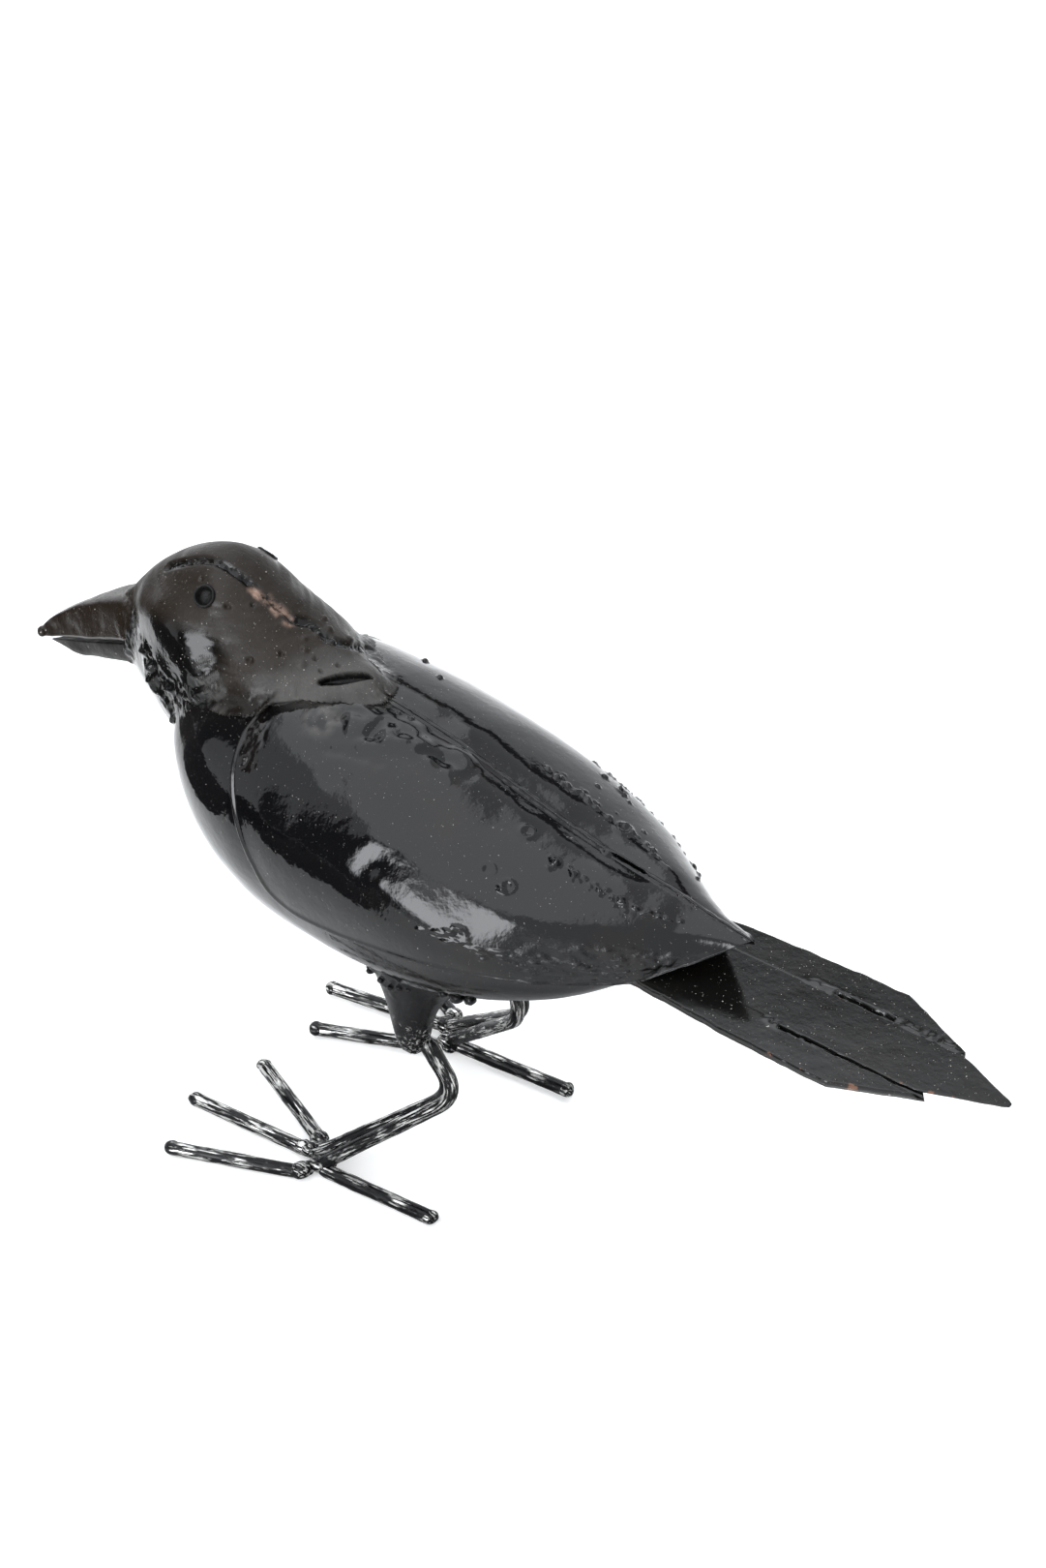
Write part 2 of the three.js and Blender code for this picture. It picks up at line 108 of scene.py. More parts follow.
def section(rows, u):
    def past_pole(row):
        return row[[0, 2, 1, 3, 4]] * (1, 1, 1, -1, 1)
    end = past_pole(rows[-2]) if rows[-1, 3] == 0 else 2 * rows[-1] - rows[-2]
    return curve(rows, u, past_pole(rows[1]), end)


def skin(rows, u, angle):
    s = section(rows, u)
    reach = np.where(np.cos(angle) > 0, s[..., 1] - s[..., 4], s[..., 4] - s[..., 2])
    return np.stack([s[..., 0] + 0 * angle, -s[..., 3] * np.sin(angle),
                     s[..., 4] + reach * np.cos(angle)], -1)


def normals(rows, u, angle, step=1e-4):
    along = skin(rows, u + step, angle) - skin(rows, u - step, angle)
    around = skin(rows, u, angle + step) - skin(rows, u, angle - step)
    return unit(np.cross(around, along))


def place(rows, x):
    """How far along a shell, from 0 to 1, its cross-section reaches x."""
    u = np.linspace(0, 1, 4001)
    return np.interp(x, section(rows, u)[:, 0], u)


def spot(rows, x, deg, out=0.0):
    """The point of a shell at x and an angle in degrees, moved out along its normal."""
    u, angle = place(rows, np.asarray(x, float)), np.radians(np.asarray(deg, float))
    return skin(rows, u, angle) + out * normals(rows, u, angle)


# %% Noise and relief, all in millimetres
def noise(p, size, seed=0):
    """Smooth noise from -1 to 1, with features of the given size."""
    q = p / size + 57.3 * seed
    cell = np.floor(q).astype(np.int64)
    f = q - cell
    w = f * f * (3 - 2 * f)
    total = 0.0
    for corner in np.ndindex(2, 2, 2):
        k = (cell + corner).astype(np.uint64)
        h = k[..., 0] * 374761393 + k[..., 1] * 668265263 + k[..., 2] * 2246822519 + seed * 3266489917
        h = (h ^ (h >> np.uint64(13))) * np.uint64(1274126177) & np.uint64(0xFFFFFFFF)
        h = (h ^ (h >> np.uint64(16))) & np.uint64(0xFFFF)
        share = np.prod(np.where(corner, w, 1 - w), axis=-1)
        total = total + share * (h / 32767.5 - 1)
    return total


def rough(p, size, seed=0, octaves=3):
    return sum(noise(p, size / 2 ** k, seed + k) / 2 ** k for k in range(octaves))


def distance(p, line):
    """Distance from each point to the nearest point of a line of points."""
    flat = p.reshape(-1, 3)
    best = np.full(len(flat), 1e9)
    for q in line:
        best = np.minimum(best, ((flat - q) ** 2).sum(1))
    return np.sqrt(best).reshape(p.shape[:-1])


def path_points(rows, path, per_step=12):
    """Points on a shell along a smooth path of x and degrees."""
    path = np.array(path, float)
    s = np.linspace(0, 1, per_step * (len(path) - 1) + 1)
    along = curve_on(path, s)
    return spot(rows, along[:, 0], along[:, 1])


def clamp(value):
    return np.clip(value, 0, 1)


def bell(away, width, power=2):
    """1 at no distance, fading to 0 over the width; a higher power gives a flatter top."""
    return np.exp(-(away / width) ** power)


def along_path(p, rows, path, width, power=2):
    """A bell beside a path of x and degrees over a shell."""
    return bell(distance(p, path_points(rows, path)), width, power)


def bump(p, centre, radius, height):
    return height * np.exp(-((p - centre) ** 2).sum(-1) / radius ** 2)


def dome(p, centre, radius, height):
    """A drop of weld metal with a crisp foot."""
    return height * np.sqrt(clamp(1 - ((p - centre) ** 2).sum(-1) / radius ** 2))


def crater(p, centre, radius, height):
    d = np.linalg.norm(p - centre, axis=-1)
    rim = bell(d - radius, 0.3 * radius)
    return height * (rim - 0.6 * bell(d, 0.7 * radius))


def window(value, low, high, soft):
    """1 between low and high, fading to 0 over the soft distance outside."""
    return clamp(1 + (value - low) / soft) * clamp(1 + (high - value) / soft)


def gap_to(rows, p):
    """Distance from points to the outside of a shell, below zero inside it."""
    s = section(rows, place(rows, p[..., 0]))
    z = p[..., 2] - s[..., 4]
    half = np.maximum(s[..., 3], 0.3)
    reach = np.maximum(np.where(z > 0, s[..., 1] - s[..., 4], s[..., 4] - s[..., 2]), 0.3)
    k = np.sqrt((p[..., 1] / half) ** 2 + (z / reach) ** 2) + 1e-6
    slope = np.sqrt((p[..., 1] / half ** 2) ** 2 + (z / reach ** 2) ** 2) / k
    beyond = np.maximum(rows[0, 0] - p[..., 0], p[..., 0] - rows[-1, 0])
    return np.where(beyond > 0, np.hypot(np.maximum((k - 1) / slope, 0), beyond), (k - 1) / slope)


def blend(p, n, other, size, steps=14):
    """Height along n that carries a surface into another shape with a fillet of the given size."""
    size = np.broadcast_to(size, p.shape[:-1])
    start = other(p)
    near = (start < size) & (start > -0.4 * size)
    points, away, k = p[near], n[near], size[near]
    height, before, done = np.zeros(len(k)), np.full(len(k), -1.0), np.zeros(len(k), bool)
    for step in range(steps + 1):
        t = k * step / steps
        d = other(points + away * t[:, None])
        f = np.minimum(d, t) - k / 4 * clamp(1 - np.abs(d - t) / k) ** 2
        new = ~done & (f >= 0)
        part = -before / np.maximum(f - before, 1e-9) if step else np.ones(len(k))
        height[new] = (t - k / steps * (1 - part))[new] if step else 0
        done |= new
        before = f
    full = np.zeros(p.shape[:-1])
    full[near] = np.where(done, height, 0)
    return full


# %% [markdown]
# ## Helpers for meshes
# Every piece is a mesh made of grids. A sheet has an outer and an inner grid joined round the rim by
# a rounded edge, a shell closes at two poles, and a tube has flat ends.


# %% Mesh builders
def quads(at, rows, columns, flip=False):
    faces = []
    for i in range(rows):
        for j in range(columns):
            a, b, c, d = at(i, j), at(i + 1, j), at(i + 1, j + 1), at(i, j + 1)
            faces.append((a, b, c, d) if flip else (a, d, c, b))
    return faces


def outward(points, faces, fields):
    """A closed part as points, faces and named values, with its faces turned outwards."""
    corners = [(f[0], f[k], f[k + 1]) for f in faces for k in range(1, len(f) - 1)]
    a, b, c = (points[[t[k] for t in corners]] for k in range(3))
    if (a * np.cross(b, c)).sum() < 0:
        faces = [f[::-1] for f in faces]
    return points, faces, fields


def tube(rings, start, end, **fields):
    """Closed rings of points from start to end, two single points."""
    n, m = rings.shape[:2]
    points = np.vstack([[start], rings.reshape(-1, 3), [end]])
    def at(i, j):
        return 1 + i * m + j % m
    faces = quads(at, n - 1, m)
    faces += [(0, at(0, j + 1), at(0, j)) for j in range(m)]
    faces += [(len(points) - 1, at(n - 1, j), at(n - 1, j + 1)) for j in range(m)]
    for key, v in fields.items():
        v = np.broadcast_to(v, (n, m) + np.shape(v)[2:]).reshape(n * m, -1)
        fields[key] = np.concatenate([v[:1], v, v[-1:]])
    return outward(points, faces, fields)


def sheet(outer, inner, bulge=0.35, **fields):
    """A sheet between two grids, with its rim rounded outwards."""
    n, m = outer.shape[:2]
    ring = [(i, 0) for i in range(n)] + [(n - 1, j) for j in range(1, m)]
    ring += [(i, m - 1) for i in range(n - 2, -1, -1)] + [(0, j) for j in range(m - 2, 0, -1)]
    middle = []
    for i, j in ring:
        away = outer[i, j] - outer[min(max(i, 1), n - 2), min(max(j, 1), m - 2)]
        middle.append((outer[i, j] + inner[i, j]) / 2 + away * (bulge / max(np.linalg.norm(away), 0.2)))
    points = np.vstack([outer.reshape(-1, 3), inner.reshape(-1, 3), middle])
    faces = quads(lambda i, j: i * m + j, n - 1, m - 1)
    faces += quads(lambda i, j: n * m + i * m + j, n - 1, m - 1, flip=True)
    for k, (i, j) in enumerate(ring):
        i2, j2 = ring[(k + 1) % len(ring)]
        a, b = i * m + j, i2 * m + j2
        c, d = 2 * n * m + k, 2 * n * m + (k + 1) % len(ring)
        faces += [(a, b, d, c), (c, d, b + n * m, a + n * m)]
    for key, v in fields.items():
        v = np.broadcast_to(v, (n, m))
        rim = np.array([v[i, j] for i, j in ring])
        fields[key] = np.concatenate([v.ravel(), v.ravel(), rim])[:, None]
    return outward(points, faces, fields)


def lump(centre, radius, seed, squash=0.8, sides=20, **fields):
    """A blob of weld metal, rough and a little flat."""
    centre = np.array(centre, float)
    turn = turns(sides)
    lift = np.linspace(-np.pi / 2, np.pi / 2, sides // 2 + 1)[1:-1, None]
    ball = np.stack([np.cos(lift) * np.cos(turn), np.cos(lift) * np.sin(turn),
                     squash * np.sin(lift) + 0 * turn], -1) * radius
    at = ball + centre
    ball *= (1 + 0.16 * noise(at, radius, seed) + 0.08 * noise(at, 0.4 * radius, seed))[..., None]
    return tube(centre + ball, centre - (0, 0, squash * radius), centre + (0, 0, squash * radius),
                straight=ball + centre, **fields)


dressed = []


def piece(name, slot, nodes, *parts):
    """Joins closed parts into one piece that rides on the frame and stands for its solids."""
    points, faces, fields = [], [], {}
    count = 0
    keys = {key: v.shape[1] for part in parts for key, v in part[2].items()}
    for part_points, part_faces, part_fields in parts:
        points.append(part_points)
        faces += [tuple(count + i for i in face) for face in part_faces]
        for key, width in keys.items():
            v = part_fields.get(key, np.zeros((len(part_points), width)))
            fields.setdefault(key, []).append(v)
        count += len(part_points)
    mesh = bpy.data.meshes.new(name)
    mesh.from_pydata((np.vstack(points) * MM).tolist(), [], faces)
    mesh.validate()
    mesh.shade_smooth()
    for key, v in fields.items():
        kind, field = (("FLOAT", "value"), ("FLOAT_VECTOR", "vector"))[keys[key] == 3]
        values = np.concatenate(v).astype(np.float32).ravel()
        mesh.attributes.new(key, kind, "POINT").data.foreach_set(field, values)
    obj = bpy.data.objects.new(name, mesh)
    bpy.context.scene.collection.objects.link(obj)
    if slot:
        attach(obj, "root")
        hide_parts(*nodes)
        dressed.append((obj, slot))
    print(f"{name}: {len(mesh.vertices)} points, {len(mesh.polygons)} faces")
    return obj


# %% [markdown]
# ## The body
# The belly and chest are one rounded shell, beaten from sheet, so it carries long shallow dents.
# Where the neck lands on it the weld was built up and smeared, so the two shapes flow together.


# %% Body shell
def wing_reaches(p):
    """True where a point's x and angle lie under a wing."""
    s = section(BODY, place(BODY, p[..., 0]))
    angle = np.degrees(np.abs(np.arctan2(p[..., 1], p[..., 2] - s[..., 4])))
    edge = np.interp(angle, FRONT_EDGE[:, 1], FRONT_EDGE[:, 0])
    return (p[..., 0] > edge) & (angle < FRONT_EDGE[-1, 1])


def to_back(p):
    """Distance to whatever the neck lands on: a wing, or the bare body in front of it."""
    return np.where(wing_reaches(p), gap_to(WING, p) - WING_GAP - WING_SHEET, gap_to(BODY, p))


def to_head(p):
    return gap_to(HEAD, p)


def neck_size(p):
    return 5.0 + 2.2 * noise(p, 13, 91) + 1.2 * noise(p, 5, 92)


def weld_skin(p, near, contact=0.0):
    """The torn surface of weld metal, fading away with distance from the joint."""
    fade = bell(np.maximum(near, 0), 5.0)
    part = fade * (1 - contact * bell(near, 1.5))
    return part * (0.45 * rough(p, 5, 93) + 0.3 * np.abs(noise(p, 1.7, 94)) - 0.1), fade


SLOT = [(-72, 49), (-67, 43), (-62, 34), (-57, 25), (-52, 16), (-48, 8)]
slot_line = path_points(HEAD, SLOT, 8)


def open_slot(p, n, h):
    """Presses a surface in along the slot between the neck and the near wing."""
    at = p + n * h[..., None]
    for k, q in enumerate(slot_line):
        half = 0.6 + 2.1 * math.sin(math.pi * ((k + 1) / (len(slot_line) + 1)) ** 1.6)
        h = np.minimum(h, 9 - 14 * bell(np.linalg.norm(at - q, axis=-1), half, 6))
    return h


def collar(p):
    """Where the pale rough weld lies between the neck and the wings."""
    return clamp(1.5 - distance(p, slot_line) / (9 + 4 * noise(p, 8, 97)))


def torn_wedge(p):
    """The dark torn wedge of weld between the neck and the front of the near wing."""
    fade = along_path(p, BODY, WEDGE, 4.5, 4)
    return fade * (0.9 * rough(p, 4, 95) + 0.5 * np.abs(noise(p, 1.6, 96))), fade


WEDGE = [(-84, 24), (-80, 33), (-76, 42), (-73, 52)]
CRUMPLE = [(-46, 17), (-37, 16), (-30, 14), (-22, 10), (-14, 9), (-1, 8)]
groove_line = path_points(WING, [(-20, 58), (16, 59), (48, 70), (62, 77), (76, 83)])


def groove(p):
    """How far the wings are drawn in along the line where they are tacked to the body inside."""
    depth = np.interp(p[..., 0], [-24, 16, 48, 62, 84], [0, 0.7, 1.7, 2.5, 0])
    return depth * bell(distance(p * (1, 0, 1) - np.abs(p) * (0, 1, 0), groove_line), 8)


def crumple(p):
    """Where the near shoulder is crumpled by the heat of the weld."""
    return along_path(p, WING, CRUMPLE, 8, 4)


def build_body():
    u = np.linspace(0, 1, 232)[1:-1, None]
    angle = turns(280)[None]
    p = skin(BODY, u, angle)
    n = normals(BODY, u, angle)
    h = 0.35 * noise(p, 34, 1) + 0.15 * noise(p, 13, 2) + 0.04 * noise(p, 5, 3) - 0.4
    h += bump(p, spot(BODY, -98, 56), 8, 1.2) - groove(p) - 1.6 * crumple(p)
    h += blend(p, n, to_head, neck_size(p))
    torn, fade = weld_skin(p + n * h[..., None], to_head(p), 0.4)
    wedge, at_wedge = torn_wedge(p)
    h = open_slot(p, n, h + torn + wedge)
    fade = np.maximum(fade, at_wedge)
    p = p + n * h[..., None]
    start, end = skin(BODY, np.array([0.0, 1.0]), np.zeros(2))
    return tube(p, start, end, matt=0.2 * fade, brown=0.4 * fade, dusty=collar(p))


piece("body_shell", "gloss_black", ["body"], build_body())

# %% [markdown]
# ## The wings
# Each wing is a 1.2 mm sheet laid over the body and welded to its twin along the back, in a shallow
# valley with a raised lip. Drops of weld metal, craters and a torn band mark where the sheet was
# tacked to the body inside. Places are given by x and degrees from the seam, sizes in millimetres.

# %% Marks on the wings
CRATERS = {1: [(33, 16, 2.5, 0.6), (39, 42, 2.4, 0.6), (30, 39, 2.4, 0.3), (30, 73, 2.6, 0.5)],
           -1: [(56, -17, 3.0, 0.7), (40, -42, 2.2, 0.6)]}
DROPS = {1: [(48, 22, 2.1, 1.2), (56, 23, 1.7, 1.1), (38, 44, 1.6, 1.1), (75, 28, 1.6, 1.1),
             (59, 1, 1.9, 1.0), (76, 1, 0.8, 0.7), (83, 2, 0.7, 0.6), (90, 1, 0.8, 0.6),
             (97, 2, 0.7, 0.6), (-34, 4, 1.0, 0.7), (-29, 3, 1.4, 0.9)],
         -1: [(24, -16, 1.1, 0.9), (29, -16, 1.3, 1.0), (33, -16, 1.1, 0.9), (39, -16, 1.5, 0.9),
              (35, -29, 1.0, 0.9), (31, -41, 1.8, 1.1), (25, -59, 1.5, 1.2), (38, -43, 1.0, 0.9),
              (42, -40, 1.0, 0.9), (46, -38, 0.9, 0.8), (-54, -39, 1.4, 1.3), (-39, -27, 1.3, 1.2),
              (18, -58, 2.0, 1.0), (41, -62, 1.8, 1.2), (75, -67, 1.7, 1.4), (79, -67, 1.4, 1.2),
              (86, -42, 1.1, 0.9), (61, -26, 0.9, 0.7), (70, -20, 1.0, 0.7)]}
DENTS = {1: [(-9, 63, 7, -0.7), (-5, 66, 4, 0.5), (-14, 55, 6, 0.4), (-48, 27, 8, -0.9),
             (-37, 15, 6, 0.8), (-22, 15, 8, -0.6), (-36, 39, 6, -0.6), (2, 12, 8, 0.4),
             (24, 17, 9, -0.4), (46, 62, 10, 0.5), (-58, 24, 5, 0.6)],
         -1: [(17, -9, 8, -0.3), (-10, -25, 14, 0.4)]}
# Trails of small drops: how many, how far they spread, and the path
TRAILS = {1: [(50, 2.0, [(46, 23), (60, 24), (72, 29), (84, 32), (94, 27)]),
              (70, 3.5, [(20, 74), (40, 77), (58, 78), (75, 80), (88, 86)])],
          -1: [(50, 2.0, [(20, -15), (33, -17), (42, -17), (60, -20), (80, -16)]),
               (30, 3.0, [(22, -50), (45, -58), (80, -62)])]}
CREASE = [(-45, 33), (-40, 30), (-34, 29), (-26, 26)]


# %% Wing sheets
def wing_grid(rows, columns):
    u = np.linspace(0, 1, rows)
    v = np.linspace(0, 1, columns)[None, :]
    rim = curve_on(WING_EDGE, u)
    shoulder, tip = WING_EDGE[0, 0], WING_EDGE[-1, 0]
    seam_x = shoulder + (tip - shoulder) * u ** 1.25
    x = seam_x[:, None] + (rim[:, :1] - seam_x[:, None]) * v
    return place(WING, x), np.radians(rim[:, 1:] * v), x


def wing_relief(p, side, x, deg):
    """Height of the outer face above a fair surface. Side is 1 for the left wing, -1 for the right."""
    h = 0.4 * noise(p, 36, 11) + 0.2 * noise(p, 15, 12) + 0.06 * noise(p, 7, 13) + 0.02 * noise(p, 3, 14)
    y = np.abs(p[..., 1])
    h += 1.8 * (0.35 - bell(y, 7)) * window(x, -45, 75, 20)
    h += bell(y - 0.7, 0.6) * (0.45 + 0.3 * noise(p, 2.5, 15))
    h += bell(y - 8, 6) * 0.35 * noise(p, 9, 17)
    h -= groove(p)
    if side > 0:
        h += crumple(p) * (0.4 + 2.3 * noise(p, 8, 18) + 0.6 * noise(p, 4, 19))
        h -= 1.3 * along_path(p, WING, CREASE, 2.6) * (1 + 0.7 * noise(p, 4, 20))
        h -= 1.2 * along_path(p, WING, FRONT_EDGE[1:7], 10)
    for kind, marks in ((bump, DENTS), (crater, CRATERS), (dome, DROPS)):
        for cx, cdeg, r, height in marks[side]:
            h += kind(p, spot(WING, cx, cdeg, 2), r, height)
    rng = np.random.default_rng(5 if side > 0 else 6)
    for count, spread, path in TRAILS[side]:
        path = np.array(path, float)
        for t in rng.uniform(0, len(path) - 1, count):
            k = min(int(t), len(path) - 2)
            cx, cdeg = path[k] + (path[k + 1] - path[k]) * (t - k)
            r = rng.uniform(0.45, 1.1)
            centre = spot(WING, cx + rng.normal(0, spread), cdeg + rng.normal(0, 0.8 * spread), 2)
            h += dome(p, centre, r, 0.7 * r)
    band = window(x, 56, 98, 12) * window(deg * side, 66, 100, 9)
    h += band * (0.5 * rough(p, 5, 21) + 0.35 * noise(p, 1.8, 22))
    return h, band


def build_wing(side):
    u, angle, x = wing_grid(281, 156)
    angle = angle * side
    p = skin(WING, u, angle)
    n = normals(WING, u, angle)
    fair = p + n * (WING_GAP + WING_SHEET)
    h, band = wing_relief(fair, side, x, np.degrees(angle))
    h += blend(fair, n, to_head, neck_size(fair)) - 0.35
    h += 0.55 * bell(np.linspace(0, 1, x.shape[1])[None, :] - 0.99, 0.009)
    torn, fade = weld_skin(fair + n * h[..., None], to_head(fair), 0.4)
    h += torn
    if side > 0:
        wedge, at_wedge = torn_wedge(fair)
        h = open_slot(fair, n, h + wedge)
        fade = np.maximum(fade, at_wedge)
    outer = fair + n * h[..., None]
    inner = p + n * np.minimum(WING_GAP - 0.3, h + WING_GAP + WING_SHEET - 0.7)[..., None]
    gap = 0.12 + 0.9 * window(x, 62, 74, 3)
    for grid in (outer, inner):
        grid[..., 1] = side * np.minimum(grid[..., 1] * side, -gap)
    # A paler patch on the near shoulder is a painted highlight; the collar beside it is pale weld.
    painted_shoulder_highlight = bell(np.linalg.norm(outer - spot(WING, -56, 23, 2), axis=-1), 8, 4)
    pale = np.maximum(collar(outer), painted_shoulder_highlight * clamp(0.7 + 1.0 * rough(outer, 4, 98)))
    return sheet(outer, inner, matt=np.maximum(np.maximum(0.08 * band, 0.2 * fade), 0.5 * pale),
                 brown=0.4 * fade, torn=band, dusty=pale)


for side, name in SIDES:
    piece(f"{name}_wing_sheet", "gloss_black", [f"{name}_wing"], build_wing(side))

# %% [markdown]
# ## The head
# The head and neck are a second shell. A rough weld closes it along the crown, ground back to bare
# metal at the nape. The hem of the neck is smeared into the shoulders, except for a dark slot over
# the near shoulder that was never filled. Clots of metal hang under the throat, the cheek is beaten
# out a little, and file strokes cross the paint behind it. Along the strokes lies a painted highlight.

# %% Marks on the head: x and degrees from the crown
CROWN_WELD = [(-143, 22), (-135, 21), (-126, 17), (-113, 13), (-104, 10), (-98, 8), (-91, 5), (-85, 3)]
BARE = [(-101, 12), (-96, 10), (-91, 8), (-86, 8)]
NAPE_WELD = [(-85, 3), (-80, -6), (-71, -8), (-66, -26), (-67, -49)]
PITS = [(-105, 33, 1.3), (-90, 49, 1.4), (-81, 32, 1.2), (-98, 20, 0.9), (-120, 30, 0.8),
        (-70, 20, 1.0), (-62, 14, 1.0), (-66, 28, 0.9)]
THROAT = [(-146, 84), (-138, 94), (-130, 98), (-120, 98), (-111, 88), (-103, 79)]
UNDER_THROAT = [(-143, 100), (-134, 110), (-124, 116), (-114, 112)]
CHEEK = [(-147, 54), (-135, 60), (-124, 67), (-113, 79)]
BEHIND_CHEEK = [(-142, 36), (-133, 38), (-123, 42), (-114, 51), (-106, 65)]
SWELL_X, SWELL_DEG = -80, 60
STROKES = [(-107, 70), (-103, 78), (-98, 90), (-95, 97)]
NAPE_DROPS = [(-80, -6, 1.6), (-76, -3, 2.0), (-76, -16, 1.7), (-81, -22, 1.3), (-71, -8, 2.1),
              (-75, 18, 1.5), (-73, 30, 1.7), (-70, -30, 1.8), (-67, -46, 1.6), (-78, 10, 1.3)]
BEAK = np.array([(-228, 164, 161, 0.6, 162.5), (-206, 185, 163, 5, 174), (-183, 201, 171, 9.5, 186),
                 (-166, 209, 177, 13, 193), (-150, 212, 180, 15, 196), (-138, 210, 184, 12, 196)], float)


def to_beak(p):
    return gap_to(BEAK, p)


def both_sides(*paths):
    return [[(x, side * deg) for x, deg in path] for path in paths for side in (1, -1)]


# %% Head shell
def build_head():
    u = np.linspace(0, 1, 292)[1:-1, None]
    angle = turns(330)[None]
    p = skin(HEAD, u, angle)
    n = normals(HEAD, u, angle)
    h = 0.3 * noise(p, 26, 31) + 0.15 * noise(p, 11, 32) + 0.05 * noise(p, 4, 33) - 0.35
    for path in both_sides(CHEEK):
        h += 2.6 * along_path(p, HEAD, path, 10)
    for path in both_sides(BEHIND_CHEEK):
        h -= 1.2 * along_path(p, HEAD, path, 8)
    for deg in (SWELL_DEG, -SWELL_DEG):
        h += bump(p, spot(HEAD, SWELL_X, deg), 17, 3.2)
    weld = along_path(p, HEAD, CROWN_WELD, 1.9, 4) + along_path(p, HEAD, NAPE_WELD, 2.4, 4)
    weld = clamp(weld)
    h += weld * (0.6 * noise(p, 1.7, 34) + 0.2 * noise(p, 4, 36) - 1.3)
    for x, deg, r in PITS:
        h -= dome(p, spot(HEAD, x, deg), r, 1.2)
    for path in both_sides(THROAT, UNDER_THROAT):
        clots = along_path(p, HEAD, path, 4.2)
        h += clots * (1.0 + 1.9 * rough(p, 6, 37) + 1.1 * np.abs(noise(p, 2.4, 38)))
    for x, deg, r in NAPE_DROPS:
        h += dome(p, spot(HEAD, x, deg), r, 0.6 * r) * (1 + 0.5 * noise(p, 2, 38))
    streaks = noise(p * (0.15, 0.15, 1), 1.4, 45)
    h += (0.18 * streaks + 0.15 * noise(p, 7, 46)) * window(p[..., 0], -115, -60, 10)
    bare = along_path(p, HEAD, BARE, 2.6 + 0.9 * noise(p, 6, 40), 4)
    bare *= clamp(0.6 + 1.2 * rough(p, 2.5, 35))
    h += bare * 0.5 * noise(p, 1.3, 39)
    h += blend(p, n, to_back, neck_size(p)) + blend(p, n, to_beak, 3.0 + 1.5 * noise(p, 5, 90))
    torn, fade = weld_skin(p + n * h[..., None], to_back(p))
    root, at_root = weld_skin(p + n * h[..., None], 2 * to_beak(p))
    h = open_slot(p, n, h + torn + 1.6 * root)
    eye = distance(p, spot(HEAD, [EYE_X, EYE_X], [EYE_DEG, -EYE_DEG]))
    h = np.where(eye < 5, np.minimum(h, 8 - 13 * bell(eye, 4.0, 8)), h)
    x, deg = p[..., 0], np.degrees(np.abs(np.arctan2(p[..., 1], p[..., 2] - 195)))
    glossy = np.maximum(window(x, -200, -106, 10) * window(deg, 46, 180, 8), weld)
    pale = collar(p)
    along, across = p[..., 0] + p[..., 2], p[..., 2] - p[..., 0]
    lines = noise(np.stack([along / 9, across, 0 * along], -1), 1.1, 44)
    hatch = along_path(p, HEAD, STROKES, 4.5, 4) * clamp(0.5 + 1.4 * lines)
    h += 0.25 * hatch
    matt = (0.65 + 0.2 * streaks + 0.3 * noise(p, 9, 47)) * (1 - glossy) * (1 - fade)
    matt += 0.3 * fade + 0.5 * pale + 0.5 * bare + 0.7 * hatch + 0.5 * at_root
    brown = (1 - glossy) * (1 - 0.6 * fade) * (1 - pale)
    # Paler on the pale weld of the collar, and along the file strokes as a painted highlight.
    dusty = np.where(h < -1.5, 0, np.maximum(pale, 0.7 * hatch))
    start, end = skin(HEAD, np.array([0.0, 1.0]), np.zeros(2))
    return tube(p + n * h[..., None], start, end, bare=bare, matt=clamp(matt),
                brown=brown, dusty=dusty)


piece("head_shell", "brown_black", ["head"], build_head())

# %% [markdown]
# ## The beak
# Two folded wedges of sheet, open a little at the mouth, with a bead of weld at the tip. The rows
# give x, the ridge, the mouth line and half the width.

# %% Beak halves
UPPER_BEAK = np.array([(-228, 163, 161.5, 0.6), (-219, 174, 165, 2.6), (-203, 187, 173, 5.5),
                       (-183, 200.5, 182.5, 9.5), (-166, 209, 191, 13), (-150, 212, 197, 15)], float)
LOWER_BEAK = np.array([(-220, 163.3, 161.8, 0.6), (-206, 169.5, 162.6, 3.2),
                       (-191, 176, 166.8, 5.8), (-172, 184.5, 173.5, 8.5), (-155, 191, 179, 10)], float)


def build_beak(rows, upper):
    c = curve_on(rows, np.linspace(0, 1, 120))
    side = np.linspace(-1, 1, 61)[None, :]
    t = np.abs(side)
    first, second = (c[:, 1:2], c[:, 2:3]) if upper else (c[:, 2:3], c[:, 1:2])
    back = np.stack([c[:, :1] + 0 * side, np.sign(side) * c[:, 3:] * np.sqrt(1 - (1 - t) ** 2),
                     first + (second - first) * t ** 2], -1)
    flat_side = np.linspace(1, -1, 21)[None, 1:-1]
    mouth = np.stack([c[:, :1] + 0 * flat_side, c[:, 3:] * flat_side, second + 0 * flat_side], -1)
    ring = np.concatenate([back, mouth], 1)
    out = unit(ring - ring.mean(1, keepdims=True), 0.5)
    h = 0.35 * rough(ring, 14, 41) + 0.08 * noise(ring, 4, 42) - 0.35
    h += 1.4 * weld_skin(ring, 1.6 * to_head(ring))[0] * window(ring[..., 0], -190, -100, 6)
    ring = ring + out * h[..., None]
    # The lower half gets less brown so it stays darker than the upper: painted shade on its downward
    # face.
    return tube(ring, ring[0].mean(0), ring[-1].mean(0), matt=0.3 if upper else 0.8,
                brown=1.0 if upper else 0.3)


tip = lump((-225.3, 0, 164.2), 2.3, 7, 0.9, matt=0.6, brown=1.0)
piece("upper_beak_shell", "brown_black", ["upper_beak"], build_beak(UPPER_BEAK, True), tip)
piece("lower_beak_shell", "brown_black", ["lower_beak"], build_beak(LOWER_BEAK, False))

# %% [markdown]
# ## The eyes
# A round stud on each side with a dished face, painted over with the head.


